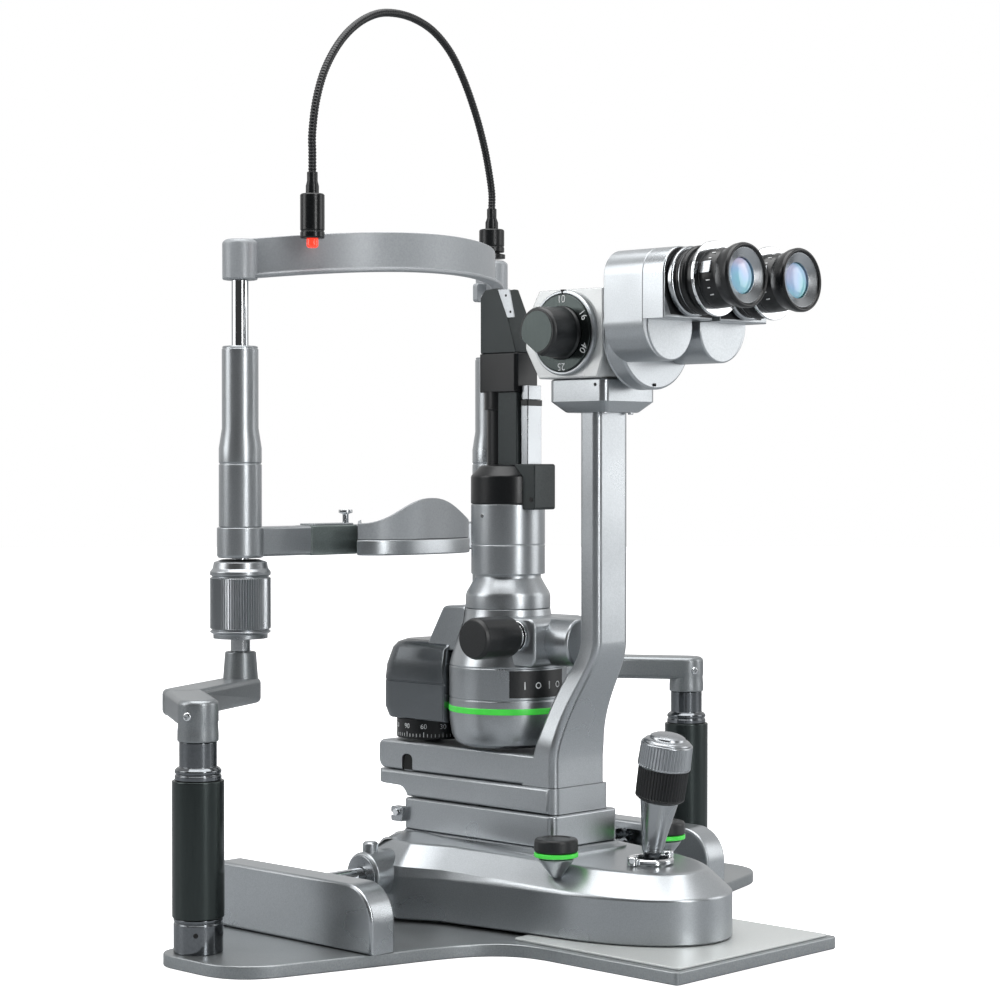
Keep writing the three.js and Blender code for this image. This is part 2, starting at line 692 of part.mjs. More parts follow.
// The optics body: the eight-sided box of the magnification changer, its far corners cut back,
// and the round barrel that it holds towards the operator.
function opticBody() {
  const { front, back, bottom, top, half } = optic;
  const outline = polygon([[back - 14, bottom], [back, bottom + 23], [back, top - 24], [back - 14, top],
    [front, top], [front, bottom + 16], [front + 6, bottom]]);
  return join(slabX(outline, -half, half, 1), opticBarrel());
}

function changerKnob() {
  const x = -optic.half - gap;
  const body = turnedX([[0, x], [32, x], [32, x - 4], [30, x - 5], [20.5, x - 5], [19.4, x - 8],
    [18.6, x - 30],
    [17, x - 32], [0, x - 32]], { y: -140, z: optic.z });
  const flat = box(x - 40, x - 12, -160, -120, optic.z - 34, optic.z - 13).rotate([35, 0, 0]);
  const pivot = [0, -140, optic.z];
  return cut(body, flat.translate(shiftAfterTurn(pivot, 35)));
}

// The move that brings a pivot back to its place after a turn about X through the origin.
function shiftAfterTurn([x, y, z], degrees) {
  const moved = new THREE.Vector3(x, y, z).applyAxisAngle(new THREE.Vector3(1, 0, 0),
    THREE.MathUtils.degToRad(degrees));
  return [0, y - moved.y, z - moved.z];
}

function objectiveCell() {
  const y = optic.back + gap;
  return turnedY([[0, y], [21, y], [21, y + 5], [19, y + 9], [16, y + 9], [15, y + 6], [0, y + 6]],
    { z: optic.z });
}

function opticBarrel() {
  const { barrelFront, front, barrelR } = optic;
  return turnedY([[0, barrelFront], [barrelR - 2, barrelFront], [barrelR, barrelFront + 2],
    [barrelR, front - 6], [barrelR - 5, front], [20, front + 10], [0, front + 10]], { z: optic.z - 1 });
}

// A prism housing: a round lobe low down, and above it a box that reaches further forward
// and holds the eyepiece. It swings about the lobe to set the distance between the eyes.
function prismHousing(side) {
  const { x, z, lobeR, lobeFront, front, outer, inner, top, hoodBottom } = prism;
  const back = optic.barrelFront - gap;
  const crown = (shape) => {
    shape.lineTo(-inner, top - 14);
    shape.absarc(-inner - 14, top - 14, 14, 0, Math.PI / 2);
    shape.absarc(-outer + 20, top - 20, 20, Math.PI / 2, Math.PI);
  };
  const upper = new THREE.Shape();
  upper.moveTo(-inner, hoodBottom);
  crown(upper);
  upper.lineTo(-outer, hoodBottom);
  const rear = new THREE.Shape();
  rear.moveTo(-inner, z);
  crown(rear);
  rear.lineTo(-outer, z + 3);
  rear.bezierCurveTo(-outer, z - 12, -x - 16, z - lobeR, -x, z - lobeR);
  rear.bezierCurveTo(-x + 14, z - lobeR, -inner, z - 14, -inner, z);
  const hood = slabY(upper, front, lobeFront + 2, 1.5, 6);
  const body = slabY(rear, lobeFront + 1, back, 0, 6);
  const lobe = turnedY([[0, lobeFront], [lobeR - 1, lobeFront], [lobeR, lobeFront + 1], [lobeR, back],
    [0, back]], { x: -x, z });
  const housing = join(hood, body, lobe);
  return side < 0 ? housing : housing.mirror([1, 0, 0]);
}

// An eyepiece, turned about Y: a grooved ring next to its seat at y = 0, a thin flange, and a
// barrel that flares out to the rim.
function eyepieceBody() {
  return turnedY([[0, -1.6], [25.5, -1.6], [25.5, -5], [23.4, -6], [23.4, -9], [25, -10], [25, -14],
    [22, -16], [21.8, -24], [27, -24], [27, -26.6], [21.6, -26.6], [21.4, -34], [20, -40], [23, -48],
    [23.4, -52], [22.4, -54], [19, -54], [16, -50], [0, -50]]);
}

function microscope() {
  put('microscope_arm', microscopeArm(), paint);
  put('head_shelf', headShelf(), paint);
  put('optic_body', opticBody(), whitePaint);
  put('changer_knob', changerKnob(), blackPlastic);
  put('objective_cell', objectiveCell(), blackMetal);
  for (const [word, side] of sides) {
    put(`prism_housing_${word}`, prismHousing(side), paint);
    const lens = put(`eyepiece_${word}`, eyepieceBody(), blackMetal);
    lens.position.set(side * eyepiece.x, prism.front, eyepiece.z);
    lens.rotation.x = THREE.MathUtils.degToRad(-eyepiece.rise);
  }
}

// ---- lamp tower ----

// The housing rides on the swing axle and carries the drum in front of it.
function lampHousing() {
  const outline = new THREE.Shape();
  outline.moveTo(-30, -2);
  outline.lineTo(30, -2);
  outline.lineTo(30, 58);
  outline.quadraticCurveTo(30, 73, 12, 74);
  outline.lineTo(-12, 74);
  outline.quadraticCurveTo(-30, 73, -30, 58);
  const body = slabZ(outline, 157.3, 221, 0);
  const profile = polygon([[-30, 150], [66, 150], [76, 166], [76, 200], [66, 221], [20, 221], [-2, 250],
    [-30, 250]]);
  const drumRoom = turned(disc(tower.drumR + gap, 100, 260), { y: tower.y, sides: 24 });
  const neckRoom = turned(disc(swing.r + running, 100, swing.top + gap), { y: swing.y, sides: medium });
  const cheek = slabZ(rounded(-24, 24, -20, 20, 4), 200, 249, 0, 4);
  return cut(join(body, cheek).intersect(slabX(profile, -40, 40)), drumRoom, neckRoom);
}

function angleRing() {
  return turned(ring(swing.r + running, 30, arm.deck + 2, 157), { y: swing.y });
}

function lampDrum() {
  const { drumR, drumBottom, shoulder, neck } = tower;
  return turned([[0, drumBottom], [drumR - 11, drumBottom], [drumR - 2, drumBottom + 9],
    [drumR, drumBottom + 24], [drumR, shoulder], [drumR - 2, shoulder + 8], [35, shoulder + 34],
    [33.5, neck], [0, neck]], { y: tower.y, sides: 24 });
}

function slitBarrel() {
  const { neck } = tower;
  const low = neck + gap;
  return turned([[0, low], [33.5, low], [33.5, low + 12], [29, 268], [26, 273.5], [26, 276], [29.2, 276],
    [29.2, 331], [0, 331]], { y: tower.y });
}

function slitArm() {
  const reach = turnedY([[0, -126], [17, -126], [19, -124], [19, -60], [0, -60]], { z: 225, sides: medium });
  const cheekBlock = slabX(rounded(-103, -60, 206, 244, 8), -30, 30, 1, 3);
  const drumRoom = turned([[0, 100], [tower.drumR + gap, 100], [tower.drumR + gap, tower.shoulder + 0.5],
    [tower.drumR - 2 + gap, tower.shoulder + 8], [35 + gap, tower.shoulder + 34 + gap], [33.9, tower.neck],
    [33.9, 300], [0, 300]], { y: tower.y, sides: 24 });
  return cut(join(reach, cheekBlock), drumRoom);
}

function slitKnob() {
  const x = -30 - gap;
  return turnedX([[0, x], [9, x], [9, x - 9], [15, x - 9], [16, x - 12], [16, x - 45], [14.5, x - 48],
    [0, x - 49]],
    { y: -84, z: 230, sides: medium });
}

// The black lamp column: a cone on the barrel, a tube, and the box that carries the mirror.
function lampColumn() {
  const low = 355;
  const cone = turned([[0, 331 + gap], [29.5, 331 + gap], [29.5, 353], [22, 361], [0, 361]], { y: tower.y });
  const tube = turned([[0, low], [11, low], [11, 405], [13, 405.5], [13, 420], [0, 420]],
    { y: tower.y + 8, sides: medium });
  const plateBack = slabZ(rounded(-11, 11, -66, -44, 2), low, 452, 0, 2);
  const head = slabZ(rounded(-13, 13, -67, -26, 3), 418, 449, 0, 2);
  return join(cone, tube, plateBack, head);
}

function rearBar() {
  const strip = box(-8, 8, -75, -67, 330, 411);
  const block = slabX(rounded(-86, -64, 327, 363, 2), -12, 12, 0, 2);
  const coneRoom = turned([[0, 300], [29.8, 300], [29.8, 353], [22.4, 361.2], [0, 361.2]], { y: tower.y });
  return cut(join(strip, block), coneRoom, box(-12, 12, -66.6, -40, 361, 420));
}

// The mirror head leans back: a wedge seen from the side, with a sloping front.
function mirrorHead() {
  const low = 452.3;
  const outline = polygon([[-67, low], [-27, low], [-27, 494], [-32, 500], [-46, 501], [-57, 478]]);
  return slabX(outline, -12, 12);
}

function lampTower() {
  put('lamp_housing', lampHousing(), paint);
  put('angle_ring', angleRing(), blackMetal);
  put('lamp_drum', lampDrum(), paint);
  put('slit_arm', slitArm(), paint);
  put('slit_knob', slitKnob(), blackPlastic);
  put('slit_barrel', slitBarrel(), paint);
  put('lamp_column', lampColumn(), blackMetal);
  put('rear_bar', rearBar(), steel);
  put('mirror_head', mirrorHead(), blackMetal);
}

plateAndRails();
posts();
chinRest();
headFrame();
crossSlide();
baseUnit();
joystickUnit();
liftUnit();
microscope();
lampTower();

export default slitLamp;
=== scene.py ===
import math

import bmesh
import bpy
from mathutils import Matrix, Vector


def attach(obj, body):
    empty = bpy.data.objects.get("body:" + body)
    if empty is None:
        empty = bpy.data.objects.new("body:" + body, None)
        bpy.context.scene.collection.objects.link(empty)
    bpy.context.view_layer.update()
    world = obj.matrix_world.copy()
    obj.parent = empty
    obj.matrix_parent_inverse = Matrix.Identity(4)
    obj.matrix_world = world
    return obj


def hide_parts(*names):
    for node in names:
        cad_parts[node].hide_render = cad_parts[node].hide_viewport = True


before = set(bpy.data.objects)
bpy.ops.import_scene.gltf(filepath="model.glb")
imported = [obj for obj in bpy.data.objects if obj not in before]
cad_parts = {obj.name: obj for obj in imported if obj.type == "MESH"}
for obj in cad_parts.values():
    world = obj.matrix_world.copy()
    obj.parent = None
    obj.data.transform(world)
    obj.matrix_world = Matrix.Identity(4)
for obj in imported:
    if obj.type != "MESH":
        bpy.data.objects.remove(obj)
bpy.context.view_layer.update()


# ---- the ground, the light and the camera ----
# The instrument stands on a plain pale ground that runs out to a white surround. Two soft
# boxes, a narrow strip and an overhead box light it. The room is darker behind the camera, as
# in a studio, so that polished parts have something dark to mirror.

def srgb(text):
    """An sRGB hex colour as linear light."""
    parts = [int(text[i:i + 2], 16) / 255 for i in (1, 3, 5)]
    return [p / 12.92 if p <= 0.04045 else ((p + 0.055) / 1.055) ** 2.4 for p in parts] + [1.0]


def add_node(tree, kind, values=None, links=None, **settings):
    """A node with its settings, its fixed inputs, and its links as input: (node, output)."""
    node = tree.nodes.new(kind)
    for name, value in settings.items():
        setattr(node, name, value)
    for name, value in (values or {}).items():
        node.inputs[name].default_value = value
    for name, (source, output) in (links or {}).items():
        tree.links.new(source.outputs[output], node.inputs[name])
    return node


def new_finish(name, slot=None):
    """An empty surface: its material, its tree, its shader and its place in metres."""
    finish = bpy.data.materials.new(name)
    finish.use_nodes = True
    if slot:
        finish["slot"] = slot
    tree = finish.node_tree
    shader = tree.nodes["Principled BSDF"]
    place = add_node(tree, "ShaderNodeTexCoord")
    return finish, tree, shader, place


# Matt white laminate. Its faint fibre is 2 mm across, drawn coarse enough to show.
ground_finish, tree, shader, place = new_finish("white_laminate")
shader.inputs["Roughness"].default_value = 0.55
fibre = add_node(tree, "ShaderNodeTexNoise", {"Scale": 500.0, "Detail": 3.0},
                 {"Vector": (place, "Object")})
tint = add_node(tree, "ShaderNodeMix", links={"Factor": (fibre, "Fac")}, data_type="RGBA")
tint.inputs["A"].default_value = srgb("#F4F5F6")
tint.inputs["B"].default_value = srgb("#FBFBFC")
# The camera sees the laminate lit up to white. Reflections see it darker, as a studio table.
ray = add_node(tree, "ShaderNodeLightPath")
seen = add_node(tree, "ShaderNodeMix", links={"Factor": (ray, "Is Camera Ray"),
                                              "B": (tint, "Result")}, data_type="RGBA")
seen.inputs["A"].default_value = srgb("#A6A9AC")
tree.links.new(seen.outputs["Result"], shader.inputs["Base Color"])
lift = add_node(tree, "ShaderNodeMath", {1: 0.9}, {0: (ray, "Is Camera Ray")}, operation="MULTIPLY")
tree.links.new(lift.outputs["Value"], shader.inputs["Emission Strength"])

shape = bmesh.new()
bmesh.ops.create_circle(shape, cap_ends=True, segments=96, radius=9.0)
ground_mesh = bpy.data.meshes.new("ground")
shape.to_mesh(ground_mesh)
shape.free()
ground_mesh.materials.append(ground_finish)
ground = bpy.data.objects.new("ground", ground_mesh)
ground.location = (0, 0, -0.0003)
bpy.context.scene.collection.objects.link(ground)

world = bpy.data.worlds.new("studio")
bpy.context.scene.world = world
world.use_nodes = True
tree = world.node_tree
outward = add_node(tree, "ShaderNodeTexCoord")
facing = add_node(tree, "ShaderNodeVectorMath", links={0: (outward, "Generated")},
                  operation="DOT_PRODUCT")
facing.inputs[1].default_value = (0.62, 0.6, 0.5)
rise = add_node(tree, "ShaderNodeMapRange", {"From Min": -0.2, "From Max": 0.6, "To Min": 0.05,
                                             "To Max": 0.7}, {"Value": (facing, "Value")},
                interpolation_type="SMOOTHSTEP")
ray = add_node(tree, "ShaderNodeLightPath")
room = add_node(tree, "ShaderNodeMath", links={0: (rise, "Result"), 1: (ray, "Is Camera Ray")},
                operation="MAXIMUM")
tree.links.new(room.outputs["Value"], tree.nodes["Background"].inputs["Strength"])
tree.nodes["Background"].inputs["Color"].default_value = srgb("#FFFFFF")

for name, at, aim, width, height, power in [
        ("left_soft_box", (-1.65, 1.1, 1.2), (0, 0, 0.4), 1.0, 1.6, 17),
        ("right_soft_box", (1.55, -1.5, 0.75), (0, 0, 0.35), 1.0, 1.4, 10),
        ("key_strip", (-0.45, -2.1, 1.0), (0, 0, 0.35), 0.35, 1.8, 20),
        ("overhead_soft_box", (-0.2, -0.1, 2.1), (0, 0, 0.3), 2.0, 2.0, 46)]:
    light = bpy.data.lights.new(name, "AREA")
    light.shape = "RECTANGLE"
    light.size = width
    light.size_y = height
    light.energy = power
    lamp = bpy.data.objects.new(name, light)
    lamp.location = at
    lamp.visible_camera = False
    lamp.rotation_euler = (Vector(aim) - Vector(at)).to_track_quat("-Z", "Y").to_euler()
    bpy.context.scene.collection.objects.link(lamp)

view = bpy.data.cameras.new("view")
view.lens = 88.2
view.sensor_width = 36
camera = bpy.data.objects.new("view", view)
camera.location = (-1.3973, -1.3865, 0.361)
camera.rotation_euler = (math.radians(90 - 0.795), 0, math.radians(-46))
bpy.context.scene.collection.objects.link(camera)
bpy.context.scene.camera = camera
bpy.context.scene.view_settings.view_transform = "Standard"


# ---- base plate and slide pad ----
# One milled aluminium plate carries everything. It has a leg towards the operator and a wing
# under each post, and a thin smooth pad is glued to the leg for the base to slide on.

def piece(name, shape, finish, body, stands_for=()):
    """A finished shape in millimetres as an object in metres, on its body."""
    bmesh.ops.remove_doubles(shape, verts=shape.verts, dist=0.001)
    bmesh.ops.recalc_face_normals(shape, faces=shape.faces)
    for face in shape.faces:
        face.smooth = True
    for edge in shape.edges:
        edge.smooth = edge.is_manifold and edge.calc_face_angle(0.0) < math.radians(38)
    bmesh.ops.scale(shape, vec=(0.001, 0.001, 0.001), verts=shape.verts)
    mesh = bpy.data.meshes.new(name)
    shape.to_mesh(mesh)
    shape.free()
    mesh.materials.append(finish)
    thing = bpy.data.objects.new(name, mesh)
    bpy.context.scene.collection.objects.link(thing)
    evened = thing.modifiers.new("even_shading", "WEIGHTED_NORMAL")
    evened.keep_sharp = True
    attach(thing, body)
    if stands_for:
        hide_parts(*stands_for)
    return thing


def lofted(rows, caps=True):
    """A skin over rows of points that each run once round the piece."""
    shape = bmesh.new()
    rings = [[shape.verts.new(point) for point in row] for row in rows]
    for low, high in zip(rings, rings[1:]):
        for i in range(len(low)):
            shape.faces.new((low[i - 1], low[i], high[i], high[i - 1]))
    if caps:
        shape.faces.new(rings[0])
        shape.faces.new(rings[-1])
    return shape


def lay(u, v, w, along):
    """A point of an outline u, v at w along the axis that the outline is carried along."""
    return {"X": (w, u, v), "Y": (u, w, v), "Z": (u, v, w)}[along]


def eased(points, ease, closed=False):
    """The outline with its sharp corners rounded, by ease or as much as fits."""
    out = []
    for i, point in enumerate(points):
        here = Vector(point)
        before = Vector(points[i - 1]) - here
        after = Vector(points[(i + 1) % len(points)]) - here
        end = not closed and i in (0, len(points) - 1)
        if end or not before.length or not after.length or before.angle(after) > math.radians(158):
            out.append(tuple(point))
            continue
        reach = min(ease, before.length * 0.45, after.length * 0.45)
        start = here + before.normalized() * reach
        stop = here + after.normalized() * reach
        for share in (0, 0.33, 0.67, 1):
            out.append(tuple(start.lerp(here, share).lerp(here.lerp(stop, share), share)))
    return out


def drawn(*steps, fineness=10):
    """An outline. 2 numbers are a straight line, 4 a bend with one handle, 6 with two."""
    points = [steps[0]]
    for step in steps[1:]:
        chain = [points[-1]] + [step[i:i + 2] for i in range(0, len(step), 2)]
        for k in range(1, fineness + 1) if len(chain) > 2 else [1]:
            row = [Vector(point) for point in chain]
            share = k / fineness if len(chain) > 2 else 1
            while len(row) > 1:
                row = [a.lerp(b, share) for a, b in zip(row, row[1:])]
            points.append(tuple(row[0]))
    return points


def arc(x, y, r, start, stop, steps=12):
    """Points along an arc, its angles in degrees."""
    turns = [math.radians(start + (stop - start) * k / steps) for k in range(steps + 1)]
    return [(x + r * math.cos(turn), y + r * math.sin(turn)) for turn in turns]


def mirrored(half):
    """The whole outline from its right half, which starts and ends on the middle line."""
    return list(half) + [(-x, y) for x, y in reversed(half[1:-1])]


def rounded(u0, u1, v0, v1, r, steps=8):
    """A rectangle with round corners."""
    return (arc(u1 - r, v0 + r, r, -90, 0, steps) + arc(u1 - r, v1 - r, r, 0, 90, steps)
            + arc(u0 + r, v1 - r, r, 90, 180, steps) + arc(u0 + r, v0 + r, r, 180, 270, steps))


def slab(outline, low, high, along="Z", ease=0.8, corner=0.0):
    """A flat solid of that outline, its rims rounded by ease and its corners by corner."""
    points = [Vector(point) for point in (eased(outline, corner, True) if corner else outline)]
    area = sum(a.x * b.y - b.x * a.y for a, b in zip(points, points[1:] + points[:1]))
    side = 1 if area > 0 else -1
    inward = []
    for i, here in enumerate(points):
        before = (here - points[i - 1]).normalized()
        after = (points[(i + 1) % len(points)] - here).normalized()
        a, b = Vector((-before.y, before.x)) * side, Vector((-after.y, after.x)) * side
        inward.append((a + b) / max(0.4, 1 + a.dot(b)))
    turns = [math.radians(turn) for turn in (0, 30, 60, 90)] if ease else [math.pi / 2]
    levels = [(1 - math.sin(turn), low + ease * (1 - math.cos(turn))) for turn in turns]
    levels += [(1 - math.sin(turn), high - ease * (1 - math.cos(turn))) for turn in reversed(turns)]
    rows = []
    for inset, height in levels:
        rows.append([lay(*(here + away * inset * ease), height, along)
                     for here, away in zip(points, inward)])
    return lofted(rows)


def surface(name, slot, dark, light, grain, rough, metallic=0.0, peel=0.01, stretch=(1, 1, 1)):
    """A surface flecked between two colours over a grain in millimetres, its roughness
    drifting between two values over a hand's breadth, with a bump peel millimetres high."""
    finish, tree, shader, place = new_finish(name, slot)
    shader.inputs["Metallic"].default_value = metallic
    along = add_node(tree, "ShaderNodeMapping", {"Scale": stretch}, {"Vector": (place, "Object")})
    fleck = add_node(tree, "ShaderNodeTexNoise", {"Scale": 1000 / grain, "Detail": 4.0},
                     {"Vector": (along, "Vector")})
    spread = add_node(tree, "ShaderNodeMapRange", {"From Min": 0.3, "From Max": 0.7},
                      {"Value": (fleck, "Fac")})
    tint = add_node(tree, "ShaderNodeMix", links={"Factor": (spread, "Result")}, data_type="RGBA")
    tint.inputs["A"].default_value = srgb(dark)
    tint.inputs["B"].default_value = srgb(light)
    tree.links.new(tint.outputs["Result"], shader.inputs["Base Color"])
    drift = add_node(tree, "ShaderNodeTexNoise", {"Scale": 1000 / 70, "Detail": 3.0},
                     {"Vector": (place, "Object")})
    gloss = add_node(tree, "ShaderNodeMapRange", {"From Min": 0.35, "From Max": 0.65,
                                                  "To Min": rough[0], "To Max": rough[1]},
                     {"Value": (drift, "Fac")})
    tree.links.new(gloss.outputs["Result"], shader.inputs["Roughness"])
    bump = add_node(tree, "ShaderNodeBump", {"Strength": 0.6, "Distance": peel / 1000},
                    {"Height": (fleck, "Fac")})
    tree.links.new(bump.outputs["Normal"], shader.inputs["Normal"])
    return finish


# Baked silver enamel over cast and milled aluminium: a satin metal sheen from flakes 0.05 mm
# across, drawn 0.9 mm wide so that they show.
silver_enamel = surface("silver_baked_enamel", "silver_paint", "#A2A6A9", "#B0B4B7", 0.9,
                        (0.27, 0.34), 0.9, 0.006)
# The plate's enamel is a coarser, duller coat of the same silver.
plate_enamel = surface("silver_plate_enamel", "silver_paint", "#8E9294", "#9DA1A3", 1.2,
                       (0.34, 0.42), 0.85, 0.012)
# Anodised pad, pale and even.
pad_finish = surface("pale_anodised_pad", "white_paint", "#C6CAC9", "#D2D5D4", 0.8, (0.36, 0.42),
                     0.45, 0.005)

half = drawn((0, -298), (89, -298), (93, -298, 93, -294), (93, -172),
             (95, -128, 128, -118, 175, -106), (262, -80), (300, -69, 300, -31), (300, 0),
             (300, 24, 276, 24), (254, 24), (234, 24, 224, 44), (212, 80, 196, 80), (0, 80))
piece("plate", slab(mirrored(half), 0, 9.5, ease=1.2), plate_enamel, "stand", ["base_plate"])
piece("slide_surface", slab(rounded(-87, 87, -294, -135, 3), 9.6, 11.3, ease=0.5), pad_finish,
      "stand", ["slide_pad"])


# ---- rail covers, racks, axle and wheels ----
# Each cover is a cast box, open below, screwed down over a toothed rail. The wheels on the
# axle's ends run inside, and the axle's tube comes out through a slot in the inner wall.

both_sides = (("left", -1), ("right", 1))


def carved(shape, *tools, how="DIFFERENCE"):
    """The shape with each tool cut out of it, or fused to it."""
    things = []
    for source in (shape, *tools):
        bmesh.ops.remove_doubles(source, verts=source.verts, dist=0.001)
        bmesh.ops.recalc_face_normals(source, faces=source.faces)
        mesh = bpy.data.meshes.new("stock")
        source.to_mesh(mesh)
        source.free()
        thing = bpy.data.objects.new("stock", mesh)
        bpy.context.scene.collection.objects.link(thing)
        things.append(thing)
    for tool in things[1:]:
        step = things[0].modifiers.new("cut", "BOOLEAN")
        step.operation = how
        step.solver = "EXACT"
        step.object = tool
    result = bmesh.new()
    result.from_object(things[0], bpy.context.evaluated_depsgraph_get())
    for thing in things:
        bpy.data.meshes.remove(thing.data)
    return result


def turned(profile, at=(0, 0, 0), along="Z", sides=96, ease=0.5, ribs=None):
    """A turned solid. profile is radius and height; ribs are count, depth, low and high."""
    ring = tuple(profile[0]) == tuple(profile[-1])
    line = eased(profile[:-1], ease, True) if ring else eased(profile, ease)
    rows = []
    for r, height in line:
        if r < 0.01:
            continue
        row = []
        for i in range(sides):
            turn = 2 * math.pi * i / sides
            reach = r
            if ribs and ribs[2] <= height <= ribs[3]:
                reach -= ribs[1] * (0.5 - 0.5 * math.cos(ribs[0] * turn))
            row.append(lay(reach * math.cos(turn), reach * math.sin(turn), height, along))
        rows.append(row)
    shape = lofted(rows + rows[:1] if ring else rows, caps=not ring)
    bmesh.ops.translate(shape, vec=at, verts=shape.verts)
    return shape


# Ground steel: fine bright lines where the grit ran.
steel = surface("ground_steel", "machined_steel", "#9A9EA1", "#B2B5B8", 0.6, (0.22, 0.32), 1.0,
                0.004, (6, 1, 6))
# Bright chrome plate, polished to a mirror.
chrome = surface("polished_chrome", "polished_chrome", "#D3D6D8", "#DEE0E2", 2.0, (0.05, 0.1), 1.0,
                 0.0005)


def cover_outline(inset, low):
    return ([(-104 + inset, low), (75 - inset, low)] + [(75 - inset, 51), (67 - inset, 59 - inset)]
            + arc(-77, 32, 27 - inset, 90, 180, 10))


for word, side in both_sides:
    shell = slab(cover_outline(0, 9.8), side * 190 - 12, side * 190 + 12, "X", 2.6)
    room = slab(cover_outline(3, 8.0), side * 190 - 9, side * 190 + 9, "X", 0)
    slot = slab(rounded(-52, 42, 38, 52, 6.5), side * 178 - 5, side * 178 + 5, "X", 0)
    piece(f"rail_box_{word}", carved(shell, room, slot), silver_enamel, "stand",
          [f"rail_cover_{word}"])
    for name in ("rack", "wheel"):
        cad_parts[f"{name}_{word}"].data.materials[0] = steel
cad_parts["cross_axle"].data.materials[0] = steel
axle_at = (0, 0, 45)
piece("axle_tube", turned([[4.8, -172], [6.5, -172], [6.5, 172], [4.8, 172], [4.8, -172]],
                          axle_at, "X"), chrome, "carriage", ["cross_tube"])


# ---- posts ----
# A chrome foot is screwed to the plate, a dark anodised sleeve stands on it, and a chrome
# ring and tube come out of the sleeve's top and carry the crank.

# Anodised aluminium, dyed a dark grey-green and drawn lengthwise, which leaves fine upright
# lines that catch the light.
dark_anodised = surface("dark_anodised_aluminium", "dark_anodised", "#3A403F", "#404645", 0.7,
                        (0.22, 0.28), 0.9, 0.003, (1, 1, 0.04))
# Black, nearly without shine. It is the black oxide of the set screws and the black of the dial's mark,
# and it is painted shade where flat discs and a plug stand for sockets, holes and a recess that are not
# cut.
hole_shade_and_oxide_black = surface("black_oxide_and_painted_hole_shade", "black_metal", "#050606", "#0B0C0C", 1.0, (0.6, 0.7))

# Polished chrome, as smooth as the bright chrome but darker in colour: painted reflection, standing in
# for the dark room that the feet and tubes mirror.
chrome_painted_dark = surface("chrome_painted_dark", "polished_chrome", "#6A6D70", "#75787B", 2.0, (0.08, 0.13),
                        1.0, 0.0005)


def swung(shape, degrees, axis, pivot=(0, 0, 0)):
    """The shape turned about an axis through a pivot."""
    turn = Matrix.Rotation(math.radians(degrees), 3, axis)
    bmesh.ops.rotate(shape, cent=pivot, matrix=turn, verts=shape.verts)
    return shape


# How far each post stands from the middle.
post_x = 276

for word, side in both_sides:
    at = (side * post_x, 0, 0)
    piece(f"foot_{word}", turned([[0, 9.8], [18, 9.8], [18, 30.5], [17.4, 31], [17.4, 32],
                                  [18, 32.5], [18, 34.4], [0, 34.4]], at, ease=0.4), chrome_painted_dark,
          "stand", [f"post_foot_{word}"])
    # The set screw is a flat black disc: black oxide, with painted shade for its socket.
    socket = turned([[0, -17.4], [1.8, -17.4], [1.8, -18.15], [0, -18.15]], (0, 0, 24), "X", 24,
                    0.1)
    swung(socket, 0 if side > 0 else 45, "Z")
    bmesh.ops.translate(socket, vec=at, verts=socket.verts)
    piece(f"foot_set_screw_{word}", socket, hole_shade_and_oxide_black, "stand")
    piece(f"sleeve_{word}", turned([[0, 34.8], [19, 34.8], [19, 134], [0, 134]], at, ease=1.0),
          dark_anodised, "stand", [f"post_sleeve_{word}"])
    piece(f"tube_{word}", turned([[0, 134.3], [17, 134.3], [17, 137.5], [16.3, 138], [16.3, 139],
                                  [17, 139.5], [17, 141.5], [14.8, 143.6], [13.7, 143.6],
                                  [13.7, 161.7], [0, 161.7]], at), chrome_painted_dark, "stand",
          [f"post_tube_{word}"])


# ---- cranks ----
# A cast arm, bent in plan, with a boss over the post and one under the upright. It is painted
# a duller grey than the rest, and a cross-head screw in its side clamps it to the post.

# Grey textured enamel: a low sheen with a fine, even orange peel.
grey_enamel = surface("grey_textured_enamel", "grey_paint", "#83878A", "#94989A", 0.8, (0.3, 0.38),
                      0.75, 0.015)


def round_bar(start, stop, half):
    """A straight bar with round ends, seen from above."""
    along = math.degrees(math.atan2(stop[1] - start[1], stop[0] - start[0]))
    return (arc(*stop, half, along - 90, along + 90, 16)
            + arc(*start, half, along + 90, along + 270, 16))


# The upright rods' place: to each side of the middle, and towards the patient.
rod_x, rod_y = 143, 111

for word, side in both_sides:
    post_end, elbow, rod_end = (side * post_x, 0), (side * 234, 69), (side * rod_x, rod_y)
    inner = slab(round_bar(post_end, elbow, 15), 173, 192.6, ease=4)
    outer = slab(round_bar(elbow, rod_end, 16), 173, 193, ease=4)
    post_boss = turned([[0, 162], [15, 162], [15, 168], [13.6, 188], [9, 192], [0, 192]],
                       (*post_end, 0), ease=1.2)
    rod_boss = turned([[0, 174], [11, 174], [15, 179], [12.2, 214], [0, 214]], (*rod_end, 0),
                      ease=1.2)
    arm = carved(inner, outer, post_boss, rod_boss, how="UNION")
    piece(f"arm_{word}", arm, grey_enamel, "stand", [f"crank_{word}"])
    screw = carved(
        turned([[0, 12.5], [3.2, 12.5], [3.2, 15.6], [2.2, 16.4], [0, 16.4]], (0, 0, 181), "X", 32,
               0.3),
        slab(rounded(-2.2, 2.2, 180.6, 181.4, 0.3, 2), 15.4, 18, "X", 0),
        slab(rounded(-0.4, 0.4, 178.8, 183.2, 0.3, 2), 15.4, 18, "X", 0))
    swung(screw, -112 if side > 0 else -160, "Z")
    bmesh.ops.translate(screw, vec=(*post_end, 0), verts=screw.verts)
    piece(f"arm_screw_{word}", screw, chrome, "stand")
    piece(f"rod_{word}", turned([[0, 214.3], [7.8, 214.3], [7.8, 224], [6.8, 224], [6.8, 508],
                                 [0, 508]], (*rod_end, 0), ease=0.3), chrome, "stand",
          [f"upright_rod_{word}"])


# ---- chin rest ----
# A crossbar joins two collars that ride up and down the rods with their long sleeves. The
# left rod has a knurled nut that raises the whole rest, and the right one a plain spacer. A
# support plate runs forward from the bar, and a loose moulded cup for the chin lies on it.

